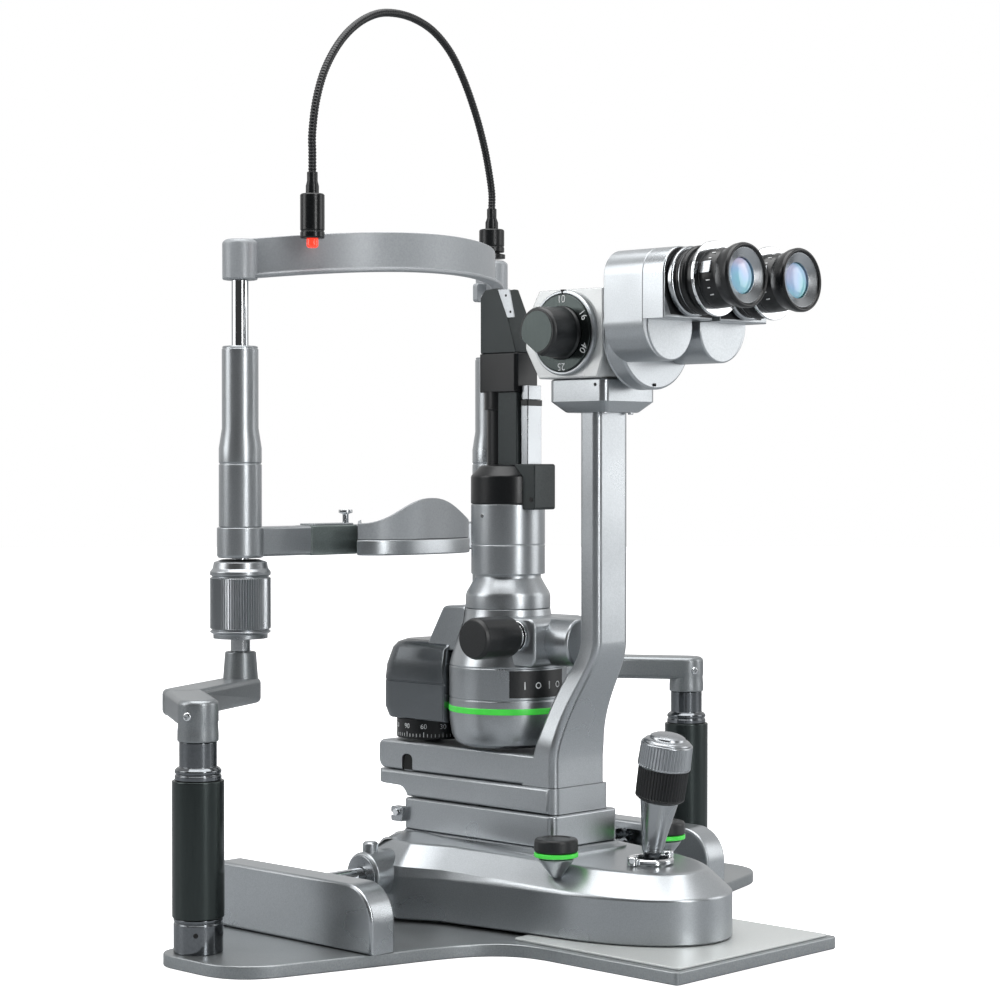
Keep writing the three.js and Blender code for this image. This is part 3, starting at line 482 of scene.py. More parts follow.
# Pale grey moulded polymer, wiped smooth, with a soft shine.
grey_moulded = surface("grey_moulded_polymer", "grey_plastic", "#93979B", "#9EA2A5", 1.5,
                       (0.36, 0.44), 0.15, 0.008)
# The clamp blocks are anodised a greenish grey, darker than the enamel beside them.
clamp_anodised = surface("grey_green_anodised_clamp", "silver_paint", "#7C8583", "#8A9391", 0.8,
                         (0.3, 0.38), 0.8, 0.004)

nut = turned([[7.3, 224.5], [21.5, 224.5], [21.5, 228], [24, 229.5], [24, 230.5], [22.6, 231.2],
              [22.6, 231.8], [24, 232.4], [24, 272.5], [22.4, 273.2], [22.4, 274], [24, 274.8],
              [24, 277.5], [22, 280], [21, 285], [15, 287], [7.3, 287], [7.3, 224.5]],
             (-rod_x, rod_y, 0), sides=288, ease=0.5, ribs=(72, 0.9, 232.6, 272.2))
piece("height_nut", nut, steel, "chin_knob", ["chin_height_knob"])
piece("spacer", turned([[7.3, 224.5], [16, 224.5], [17, 226.5], [17, 285], [15, 287], [7.3, 287],
                        [7.3, 224.5]], (rod_x, rod_y, 0)), silver_enamel, "stand", ["height_spacer"])

beam = slab(rounded(101, 121, 289, 312.6, 2), -143, 143, "X", 0)
collars = [turned([[0, 288.3], [17.5, 288.3], [18.5, 290], [18.5, 312], [17.5, 312.6], [0, 312.6]],
                  (side * rod_x, rod_y, 0), ease=0.8) for word, side in both_sides]
bores = [turned([[0, 280], [7.3, 280], [7.3, 320], [0, 320]], (side * rod_x, rod_y, 0), ease=0)
         for word, side in both_sides]
piece("crossbar", carved(carved(beam, *collars, how="UNION"), *bores), silver_enamel, "chin_rest",
      ["chin_crossbar"])
for word, side in both_sides:
    low, high = sorted((side * 27, side * 77))
    piece(f"clamp_block_{word}", slab(rounded(100.4, 121.5, 288.6, 312.7, 1), low, high, "X", 0.6),
          clamp_anodised, "chin_rest")
    piece(f"clamp_plate_{word}", slab(rounded(low + 4, high - 2, 102, 120, 1.5), 312.7, 314.2,
                                      ease=0.4), silver_enamel, "chin_rest")
    piece(f"long_sleeve_{word}", turned([[7.3, 312.9], [17, 312.9], [17, 362], [16.3, 362.5],
                                         [16.3, 363.3], [17, 363.8], [17, 375], [14.5, 391],
                                         [14.5, 453.5], [13.9, 454], [13.9, 454.8], [14.2, 455],
                                         [13.4, 456], [7.3, 456], [7.3, 312.9]],
                                        (side * rod_x, rod_y, 0), ease=0.6), silver_enamel, "chin_rest",
          [f"chin_sleeve_{word}"])


def chin_outline(inset, back):
    """Half of the rest's outline from above: narrow at the bar, wide, then a shallow bow."""
    half = drawn((0, 38 + inset), (37, 38 + inset, 62 - inset, 48, 61 - inset, 64),
                 (26 - inset, back), (0, back), fineness=16)
    return mirrored(half)


piece("support_plate", slab(chin_outline(0, 100.7), 289, 301.6, ease=1.4, corner=3), silver_enamel,
      "chin_rest", ["chin_support"])
wall = slab(chin_outline(1, 100.7), 301.9, 337, ease=0)
dish = slab(chin_outline(4, 97.7), 306, 341, ease=0)
hump = slab(drawn((-66, 300), (66, 300), (66, 313.5), (38, 316.5, 27, 335, 0, 335),
                  (-27, 335, -38, 316.5, -66, 313.5), fineness=18), 0, 121, "Y", 0)
fall = slab(drawn((0, 300), (121, 300), (121, 313.5), (78, 313.5), (68, 313.5, 66, 338, 56, 338),
                  (0, 338)), -66, 66, "X", 0)
cup = carved(carved(wall, dish), hump, fall, how="INTERSECT")
softened = piece("cup", cup, grey_moulded, "chin_rest", ["chin_cup"])
rim = softened.modifiers.new("soft_rim", "BEVEL")
rim.width = 0.0008
rim.segments = 2
rim.limit_method = "ANGLE"
rim.angle_limit = math.radians(40)
softened.modifiers.move(1, 0)
piece("paper_pin", turned([[0, 314], [2.6, 314], [2.6, 321.5], [5.8, 322.6], [5.8, 325],
                           [0, 325.6]], (-33, 108, 0), sides=48, ease=0.4), chrome, "chin_rest")


# ---- forehead band ----
# One grey moulding: an upright strip that arches across the head, with a lip along its lower
# edge, and at each end a round block that is pressed onto the rod.

rows = []
reach = math.degrees(math.asin(137 / 160))
for k in range(49):
    turn = math.radians(-90 - reach + 2 * reach * k / 48)
    x = 160 * math.cos(turn)
    lift = 8.5 * (1 - (x / 145) ** 2)
    section = [(156.6, 508.6), (167, 508.6), (167, 511.4), (160.6, 511.8), (160, 513), (160, 540.3),
               (156.6, 540.3)]
    row = []
    for r, z in eased(section, 1.0, True):
        row.append((r * math.cos(turn), 190.9 + r * math.sin(turn), z + lift))
    rows.append(row)
strip = lofted(rows)
blocks = [turned([[0, 508.3], [14, 508.3], [14, 538], [11, 540.5], [0, 540.5]],
                 (side * rod_x, rod_y, 0), ease=1.5) for word, side in both_sides]
piece("band", carved(strip, *blocks, how="UNION"), grey_moulded, "stand", ["forehead_band"])
tab = slab(rounded(114, 125, 503, 519, 2.5), 100, 106, "Y", 0.8)
piece("band_tab", tab, grey_moulded, "stand")


# ---- fixation light ----
# A black swivel on the right block, a self-supporting tube wound from steel wire and sheathed
# black, and a small lamp that hangs from it with a red light for the patient to look at.

# Black satin enamel on turned parts.
black_enamel = surface("black_satin_enamel", "black_metal", "#0C0E0F", "#16181A", 1.0, (0.26, 0.36),
                       0.2, 0.003)
red_light, tree, shader, place = new_finish("red_lamp_glass", "black_metal")
# Red glass, lit from behind, its red and its glow drifting at random between two shades.
shader.inputs["Roughness"].default_value = 0.2
shader.inputs["Emission Strength"].default_value = 1.1
glow = add_node(tree, "ShaderNodeTexNoise", {"Scale": 160.0}, {"Vector": (place, "Object")})
tint = add_node(tree, "ShaderNodeMix", links={"Factor": (glow, "Fac")}, data_type="RGBA")
tint.inputs["A"].default_value = srgb("#E02A1C")
tint.inputs["B"].default_value = srgb("#FF4A34")
tree.links.new(tint.outputs["Result"], shader.inputs["Base Color"])
tree.links.new(tint.outputs["Result"], shader.inputs["Emission Color"])

piece("swivel", turned([[0, 542.5], [11.8, 542.5], [11.8, 546], [7, 547], [7, 548], [11, 548],
                        [11, 552], [10.5, 552.4], [10.5, 553.2], [11, 553.6], [11, 567], [10, 568],
                        [5.6, 568], [5.6, 574], [4.2, 578], [4.2, 586], [0, 586]], (rod_x, rod_y, 0),
                       ease=0.5), black_enamel, "fixation_light", ["fixation_swivel"])
piece("lamp_body", turned([[0, 539], [9, 539], [9.6, 540], [9.6, 544], [9.1, 544.4], [9.1, 545.2],
                           [9.6, 545.6], [9.6, 573], [8.6, 574], [5.2, 574], [5.2, 580], [4.2, 584],
                           [4.2, 591], [0, 591]], (-118, 53, 0), ease=0.4), black_enamel,
      "fixation_light", ["fixation_lamp"])
piece("lamp_glass", turned([[0, 531.6], [3.4, 531.8], [4.6, 533], [4.6, 539.2], [0, 539.2]],
                           (-118, 53, 0), sides=48, ease=0.8), red_light, "fixation_light")

route = [(0, 586.3), (0, 600), (0.02, 620), (0.05, 641), (0.1, 666), (0.17, 692), (0.25, 713),
         (0.35, 727), (0.46, 733), (0.57, 733), (0.67, 728), (0.77, 716), (0.86, 698), (0.935, 674),
         (0.98, 648), (1, 622), (1, 606), (1, 591.3)]
points = [Vector((143 - 261 * share, 111 - 58 * share, z)) for share, z in route]
ends = [points[0] * 2 - points[1]] + points + [points[-1] * 2 - points[-2]]
line = []
for a, b, c, d in zip(ends, ends[1:], ends[2:], ends[3:]):
    for k in range(48):
        t = k / 48
        line.append(0.5 * (2 * b + (c - a) * t + (2 * a - 5 * b + 4 * c - d) * t * t
                           + (3 * b - a - 3 * c + d) * t * t * t))
line.append(points[-1])
rows = []
spread = Vector((261, 58, 0)).normalized()
side_on = spread.cross(Vector((0, 0, 1)))
run = 0.0
for i, here in enumerate(line):
    ahead = (line[min(i + 1, len(line) - 1)] - line[max(i - 1, 0)]).normalized()
    run += (here - line[i - 1]).length if i else 0
    across = side_on.cross(ahead)
    # The winding's turns are 2.6 mm apart.
    r = 3.1 + 0.22 * math.cos(2 * math.pi * run / 2.6)
    row = []
    for k in range(16):
        turn = 2 * math.pi * k / 16
        row.append(here + (side_on * math.cos(turn) + across * math.sin(turn)) * r)
    rows.append(row)
piece("bent_tube", lofted(rows), black_enamel, "fixation_light", ["fixation_gooseneck"])


# ---- base casting ----
# A cast silver body that slides on the axle's tube. Its wall stands straight up to a crease,
# then slopes in to a flat top that rises towards the back, where it flares into a plinth.

base_half = drawn((0, -259), (38, -259, 64, -215, 69, -160), (73, -128), (83, -54), (98, -22),
                  (98, 20), (64, 42), (0, 42), fineness=22)
base_line = [Vector(point) for point in eased(mirrored(base_half), 5, True)]
pulls = []
for i, here in enumerate(base_line):
    before = (here - base_line[i - 1]).normalized()
    after = (base_line[(i + 1) % len(base_line)] - here).normalized()
    a, b = Vector((-before.y, before.x)), Vector((-after.y, after.x))
    pulls.append((a + b) / max(0.4, 1 + a.dot(b)))
rows = []
for inset, z in [(1.2, 12), (0, 13.2), (0, 44), (0.25, 45.2), (1.1, 46.3), (16.5, 60.4),
                 (18.2, 61.6), (20.5, 62.1), (24, 62.2)]:
    row = []
    for here, away in zip(base_line, pulls):
        x, y = here + away * inset
        row.append((x, y, z + (max(0, y + 230) * 0.03 if z > 46 else 0)))
    rows.append(row)
body = lofted(rows)
rows = []
for spread, z in [(9, 58), (8.6, 66.5), (6, 66.9), (3.4, 67.5), (1.5, 68.4), (0.3, 69.4), (0, 70),
                  (0.6, 70.1)]:
    rows.append([(x, y, z) for x, y in rounded(-38 - spread, 38 + spread, -129 - spread,
                                               35 + spread, 6 + spread, 10)])
plinth = lofted(rows)
boss = turned([[0, -115], [16.5, -115], [18, -113.5], [18, 113.5], [16.5, 115], [0, 115]],
              axle_at, "X", ease=0.6)
tunnel = turned([[0, -120], [6.9, -120], [6.9, 120], [0, 120]], axle_at, "X", ease=0)
shaft = turned([[0, 20], [10.4, 20], [10.4, 80], [0, 80]], (0, -45, 0), ease=0)
pocket = turned([[0, 22], [16, 22], [16, 57], [13.6, 60], [13.6, 80], [0, 80]], (0, -190, 0),
                ease=0)
lock_x, lock_y = 62, -155
stubs = [turned([[0, 50], [4, 56], [12.6, 67.5], [13.5, 69.6], [0, 69.6]], (side * lock_x, lock_y, 0),
                ease=0.6) for word, side in both_sides]
body = carved(body, plinth, boss, *stubs, how="UNION")
piece("base_body", carved(body, tunnel, shaft, pocket), silver_enamel, "base", ["base_casting"])

# The bosses' ends are faced off bright, with a dark ring where the tube runs through.
for word, side in both_sides:
    low, high = sorted((side * 115.1, side * 116.3))
    piece(f"boss_face_{word}", turned([[7.1, low], [15.5, low], [15.5, high], [7.1, high],
                                       [7.1, low]], axle_at, "X", ease=0.3), steel, "base")
    piece(f"boss_pin_{word}", turned([[0, 60], [6, 60], [6, 69], [4.8, 70.5], [0, 70.5]],
                                     (side * 106, 0, 0), sides=48, ease=0.5), silver_enamel, "base")

# The column foot is a milled block bolted to the plinth, with a small clamp lug at its back.
foot = slab(rounded(-38, 38, -129, 35, 6), 70.3, 94.8, ease=1.4)
piece("foot_block", foot, silver_enamel, "base", ["column_foot"])
lug = carved(slab(rounded(30, 43, 76, 88, 2), -43.5, -36, "X", 0.6),
             slab(rounded(38, 44, 80.5, 83, 0.6), -46, -38.5, "X", 0))
piece("clamp_lug", lug, silver_enamel, "base")
piece("clamp_screw", turned([[0, -46], [2.9, -46], [2.9, -43.4], [0, -43.4]], (0, 35.5, 83.6), "X",
                            32, 0.4), chrome, "base")


def joined(*shapes):
    """Several solids as one shape."""
    whole = bmesh.new()
    for shape in shapes:
        mesh = bpy.data.meshes.new("part")
        shape.to_mesh(mesh)
        shape.free()
        whole.from_mesh(mesh)
        bpy.data.meshes.remove(mesh)
    return whole


# The chrome seat round the joystick is a ring with two lugs.
seat = turned([[13.6, 63.9], [17.6, 63.9], [17.6, 66.6], [16.5, 68], [13.6, 68], [13.6, 63.9]],
              (0, -194, 0), ease=0.4)
lugs = [turned([[0, 63.9], [4.2, 63.9], [4.2, 69.6], [3.2, 70.6], [0, 70.6]],
               (side * 20.5, -194, 0), sides=40, ease=0.5) for word, side in both_sides]
piece("stick_seat", joined(seat, *lugs), chrome, "base", ["joystick_seat"])


# ---- lock knobs ----
# A moulded black cap over a bright green band, on a silver cone. Turned down, it locks the
# base or the arms.

# Black moulded nylon, dull and finely grained, with no metal in its shine.
black_moulded = surface("black_moulded_nylon", "black_plastic", "#101213", "#1C1E20", 0.9,
                        (0.36, 0.46), 0.0, 0.012)
# Green translucent ring, dyed through. Its soft glow is painted light: the ring gives off a little of
# its own green, standing in for the light that it gathers.
green_ring, tree, shader, place = new_finish("green_dyed_acrylic", "black_plastic")
shader.inputs["Roughness"].default_value = 0.25
shader.inputs["Emission Strength"].default_value = 0.35
cloud = add_node(tree, "ShaderNodeTexNoise", {"Scale": 90.0}, {"Vector": (place, "Object")})
tint = add_node(tree, "ShaderNodeMix", links={"Factor": (cloud, "Fac")}, data_type="RGBA")
tint.inputs["A"].default_value = srgb("#35B83A")
tint.inputs["B"].default_value = srgb("#4ED84C")
tree.links.new(tint.outputs["Result"], shader.inputs["Base Color"])
tree.links.new(tint.outputs["Result"], shader.inputs["Emission Color"])

for word, side in both_sides:
    at = (side * lock_x, lock_y, 0)
    piece(f"lock_cap_{word}", turned([[0, 74.2], [15.2, 74.2], [16.5, 75.6], [16.2, 83],
                                      [15.2, 84.6], [11, 85], [10, 84.2], [0, 84.2]], at, ease=0.8),
          black_moulded, f"lock_{word}", [f"lock_knob_{word}"])
    piece(f"lock_band_{word}", turned([[0, 71], [16.1, 71], [16.5, 71.4], [16.5, 73.8],
                                       [16.1, 74.2], [0, 74.2]], at, ease=0.3), green_ring,
          f"lock_{word}")
    piece(f"lock_underside_{word}", turned([[0, 70], [13, 70], [14, 71], [0, 71]], at, ease=0.2),
          steel, f"lock_{word}")


# ---- joystick ----
# A chrome stem stands on a ball in the base and leans towards the operator. Its sleeve turns
# to raise the instrument: a black grooved band, a knurled silver band and a domed cap.

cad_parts["joystick_ball"].data.materials[0] = steel
stick = (0, -190, 40)


def on_stick(shape):
    """Puts a shape made about the origin onto the leaning stick."""
    swung(shape, 10, "X")
    bmesh.ops.translate(shape, vec=stick, verts=shape.verts)
    return shape


stem = joined(turned([[0, -4], [10, -4], [10, 4], [0, 4]], along="Y", ease=0.4),
              slab(rounded(-3.8, 3.8, -3.8, 3.8, 0.5, 2), 0.1, 15, ease=0),
              turned([[0, 15], [5, 15], [5, 27], [8, 34], [9.6, 46], [14.5, 72.5], [0, 72.5]],
                     ease=0.8))
piece("stick_stem", on_stick(stem), steel, "joystick_lever", ["joystick_stem"])
grooves = turned([[0, 72.8], [16, 72.8], [18.6, 75], [18.62, 76.2], [19, 97], [19, 98], [0, 98]],
                 sides=384, ease=0.6, ribs=(48, 0.9, 76, 97.2))
piece("stick_grooves", on_stick(grooves), black_moulded, "joystick_sleeve", ["joystick_grip"])
knurl = turned([[0, 98], [19.4, 98], [20, 99], [19.98, 99.6], [19.42, 115.4], [19.4, 116],
                [18.8, 116.8], [0, 116.8]], sides=384, ease=0.3, ribs=(48, 0.9, 99.3, 115.6))
piece("stick_knurl", on_stick(knurl), steel, "joystick_sleeve")
cap = turned([[0, 116.8], [18.4, 116.8], [16.6, 119], [13.5, 119.8], [13.2, 121.5], [10, 123],
              [5, 124], [0, 124.2]], ease=1.0)
piece("stick_cap", on_stick(cap), steel, "joystick_sleeve")


# ---- lift ----
# The spindle raises a milled block that carries the axle on which both arms swing. The block
# is cut away below its rear end, where it hangs out behind the foot.

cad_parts["swing_axle"].data.materials[0] = steel
piece("spindle", turned([[0, 22], [10, 22], [10, 95], [0, 95]], (0, -45, 0), ease=0.3), chrome,
      "lift", ["lift_spindle"])
swing_axis = (0, 38, 0)
side_line = drawn((-125, 95.3), (36, 95.3), (39, 102, 45, 103), (63, 103.4), (71, 104, 71, 109),
                  (71, 115), (-125, 115))
block = slab(side_line, -33, 33, "X", 2.2)
outline = slab(rounded(-33, 33, -125, 71, 8, 12), 90, 120, ease=0)
hole = turned([[0, 104], [9.4, 104], [9.4, 130], [0, 130]], swing_axis, ease=0)
piece("lifting_block", carved(carved(block, outline, how="INTERSECT"), hole), silver_enamel, "lift",
      ["lift_block"])


# ---- microscope arm ----
# One casting: a deep deck that lies under the lamp, an S bend that narrows as it rises in
# front, and a straight column. The corners towards the operator are rounder than the others.

def bent(points, share):
    """The point at a share of the way along a line of points, counted by points."""
    place = share * (len(points) - 1)
    i = min(int(place), len(points) - 2)
    return Vector(points[i]).lerp(Vector(points[i + 1]), place - i)


front_line = drawn((-123, 136), (-126.5, 180, -157, 206, -157, 228), fineness=24) + [(-157, 407.7)]
back_line = drawn((-100, 138.6), (-112, 176, -118, 190, -130, 206), fineness=18)[:-1]
back_line = back_line + drawn((-130, 206), (-139, 218, -139, 232), fineness=6) + [(-139, 407.7)]
stations = [((-123, 115.3), (-88, 115.3), 30), ((-123, 127), (-91, 127), 30)]
for k in range(25):
    share = k / 24
    front = bent(front_line[:-1], share)
    back = bent(back_line[:-1], share)
    z = (front.y + back.y) / 2
    width = 18.5 + 11.5 * (1 - min(1, max(0, (z - 146) / 84))) ** 1.5
    stations.append((tuple(front), tuple(back), width))
stations.append(((-157, 407.7), (-139, 407.7), 18.5))
rows = []
for front, back, width in stations:
    depth = (Vector(back) - Vector(front)).length
    section = (arc(width - 3, depth - 3, 3, 0, 90, 6) + arc(3 - width, depth - 3, 3, 90, 180, 6)
               + arc(6 - width, 6, 6, 180, 270, 10) + arc(width - 6, 6, 6, 270, 360, 10))
    rows.append([(x, *Vector(front).lerp(Vector(back), away / depth)) for x, away in section])
riser = lofted(rows)
deck_line = drawn((-112, 115.3), (63, 115.3), (72, 115.3, 72, 124), (72, 133), (72, 139, 64, 139),
                  (-112, 139))
deck = slab(deck_line, -30, 30, "X", 2.4)
arch = slab(drawn((32, 113), (32, 124), (32, 129, 38, 129), (44, 129, 44, 124), (44, 113)), -31,
            -27.4, "X", 0)
bore = turned([[0, 100], [9.6, 100], [9.6, 160], [0, 160]], swing_axis, ease=0)
arm = carved(carved(riser, deck, how="UNION"), arch, bore)
piece("arm_casting", arm, silver_enamel, "microscope", ["microscope_arm"])
# The arch's recess gets a black floor: painted shade in the recess.
piece("arch_plug", slab(drawn((32.2, 116), (32.2, 124), (32.2, 128.8, 38, 128.8),
                              (43.8, 128.8, 43.8, 124), (43.8, 116)), -28.6, -27.6, "X", 0.2),
      hole_shade_and_oxide_black, "microscope")

# The shelf on the column's top is a shallow casting with a funnel below. Two screws with
# bright heads hold it down.
rows = []
for inset, z in [(9, 401.5), (8, 402), (1.6, 408.2), (0, 409.8), (0, 425.4), (0.4, 426.2),
                 (1.4, 426.7)]:
    rows.append([(x, y, z) for x, y in rounded(-30 + inset, 30 - inset, -174 + inset * 0.9,
                                               -117 - inset * 0.9, 6, 10)])
shelf = carved(lofted(rows), slab(rounded(-19, 19, -157.5, -138.5, 4), 395, 408, ease=0))
piece("shelf", shelf, silver_enamel, "microscope", ["head_shelf"])
heads = [turned([[0, 399.6], [1.9, 400], [2.2, 401], [2.2, 403], [0, 403]], (x, -161, 0), sides=32,
                ease=0.3) for x in (-15, 15)]
piece("shelf_screws", joined(*heads), chrome, "microscope")
piece("shelf_set_screw", turned([[0, -30.4], [1.3, -30.4], [1.3, -28], [0, -28]], (0, -165, 422),
                                "X", 24, 0.2), hole_shade_and_oxide_black, "microscope")


# ---- optics body ----
# An eight-sided box holds the magnification changer and is enamelled nearly white. A wide
# turned barrel joins it to the eyepiece end, and the front lens sits in a black cell.

# Nearly white baked enamel: a clean, fairly glossy paint.
white_enamel = surface("white_baked_enamel", "white_paint", "#C4C7C7", "#CFD1D1", 0.9, (0.24, 0.3),
                       0.3, 0.006)
changer = [(-112, 427), (-98, 450), (-98, 470), (-112, 494), (-177, 494), (-177, 443), (-171, 427)]
piece("changer_box", slab(changer, -35, 35, "X", 1.2, corner=1.5), white_enamel, "microscope",
      ["optic_body"])
piece("barrel", turned([[0, -199], [40.6, -199], [42, -197.6], [42, -186], [41.2, -185.6],
                        [41.2, -184.4], [42, -184], [42, -183], [36, -177.2], [0, -177.2]],
                       (0, 0, 460), "Y", 144, 0.6), silver_enamel, "microscope")
piece("barrel_screw", turned([[0, -200.2], [1.2, -200.2], [1.2, -198], [0, -198]], (-2, 0, 421.5),
                             "Y", 24, 0.2), hole_shade_and_oxide_black, "microscope")
piece("front_cell", turned([[17, -97.7], [21, -97.7], [21, -92.7], [19, -88.7], [16.6, -88.7],
                            [15.4, -92], [15.4, -97.7], [17, -97.7]], (0, 0, 461), "Y", ease=0.4),
      black_enamel, "microscope", ["objective_cell"])
# Crown glass with a thin coating: clear, with a faint blue and magenta cast in its mirror.
coated_glass, tree, shader, place = new_finish("coated_crown_glass", "black_metal")
shader.inputs["Roughness"].default_value = 0.03
shader.inputs["IOR"].default_value = 1.52
shader.inputs["Coat Weight"].default_value = 0.6
shader.inputs["Coat Roughness"].default_value = 0.02
drift = add_node(tree, "ShaderNodeTexNoise", {"Scale": 38.0, "Detail": 1.0},
                 {"Vector": (place, "Object")})
ramp = add_node(tree, "ShaderNodeValToRGB", links={"Fac": (drift, "Fac")})
ramp.color_ramp.elements[0].position = 0.3
ramp.color_ramp.elements[0].color = srgb("#6FC6C0")
ramp.color_ramp.elements[1].position = 0.7
ramp.color_ramp.elements[1].color = srgb("#D9C3D8")
ramp.color_ramp.elements.new(0.5).color = srgb("#9FC0E2")
tree.links.new(ramp.outputs["Color"], shader.inputs["Base Color"])
piece("front_lens", turned([[0, -95.5], [15.3, -95.5], [15.3, -92.5], [9, -90.8], [0, -90]],
                           (0, 0, 461), "Y", ease=0.6), coated_glass, "microscope")


# ---- changer dial and knob ----
# A dark ring with engraved numbers is fixed to the box, and a black knob with one flat side
# turns inside it to pick the magnification.

# White enamel wiped into engraved figures.
figure_white = surface("white_figure_enamel", "white_paint", "#DDE0E1", "#EEF0F0", 0.6, (0.4, 0.5),
                       0.0, 0.002)


def figures(name, text, height, turn, finish, body):
    """Flat raised figures, drawn upright in their own plane and then placed by a matrix."""
    curve = bpy.data.curves.new(name, "FONT")
    curve.body = text
    curve.size = height
    curve.align_x = "CENTER"
    curve.align_y = "CENTER"
    curve.extrude = 0.12
    draft = bpy.data.objects.new(name, curve)
    bpy.context.scene.collection.objects.link(draft)
    shape = bmesh.new()
    shape.from_mesh(draft.to_mesh())
    draft.to_mesh_clear()
    bpy.data.objects.remove(draft)
    bmesh.ops.transform(shape, matrix=turn, verts=shape.verts)
    return piece(name, shape, finish, body)


dial_axis = (0, -140, 461)
piece("dial_rim", turned([[0, -35.2], [32, -35.2], [32, -38.4], [31.2, -39.4], [29.8, -39.4],
                          [29.2, -38.6], [0, -38.6]], dial_axis, "X", 128, 0.3), silver_enamel,
      "microscope")
piece("dial_plate", turned([[0, -38.4], [29, -38.4], [29, -39.8], [28.4, -40.3], [0, -40.3]],
                           dial_axis, "X", 128, 0.2), dark_anodised, "microscope")
piece("dial_mark", slab([(-141.4, 493.6), (-138.6, 493.6), (-140, 490.2)], -39.8, -36, "X", 0.1),
      hole_shade_and_oxide_black, "microscope")
for text, degrees in (("10", 90), ("16", 30), ("40", -28), ("25", -90)):
    turn = math.radians(degrees)
    spot = Vector((-40.3, -140 - 25.2 * math.cos(turn), 461 + 25.2 * math.sin(turn)))
    facing = (Matrix.Translation(spot) @ Matrix.Rotation(turn - math.pi / 2, 4, "X").inverted()
              @ Matrix(((0, 0, -1, 0), (-1, 0, 0, 0), (0, 1, 0, 0), (0, 0, 0, 1))))
    figures(f"dial_{text}", text, 8, facing, figure_white, "microscope")

knob = turned([[0, -40.6], [20.5, -40.6], [20.2, -42], [19.4, -43.3], [18.6, -65.3], [17, -67.3],
               [0, -67.3]], dial_axis, "X", 128, 0.8)
flat = slab([(-165, 425), (-115, 425), (-115, 448), (-165, 448)], -80, -47.3, "X", 0)
swung(flat, 35, "X", dial_axis)
piece("changer_grip", carved(knob, flat), black_moulded, "changer", ["changer_knob"])
face = turned([[0, -67.1], [15.4, -67.1], [15.4, -67.6], [0, -67.6]], dial_axis, "X", 96, 0.15)
flat = slab([(-165, 425), (-115, 425), (-115, 448), (-165, 448)], -80, -47.3, "X", 0)
swung(flat, 35, "X", dial_axis)
piece("changer_face", carved(face, flat), dark_anodised, "changer")


# ---- prism housings and eyepieces ----
# Each housing is cast in one: a tall hood that holds the eyepiece, and below it a round lobe
# that turns against the barrel to set the distance between the eyes. The eyepiece screws in.

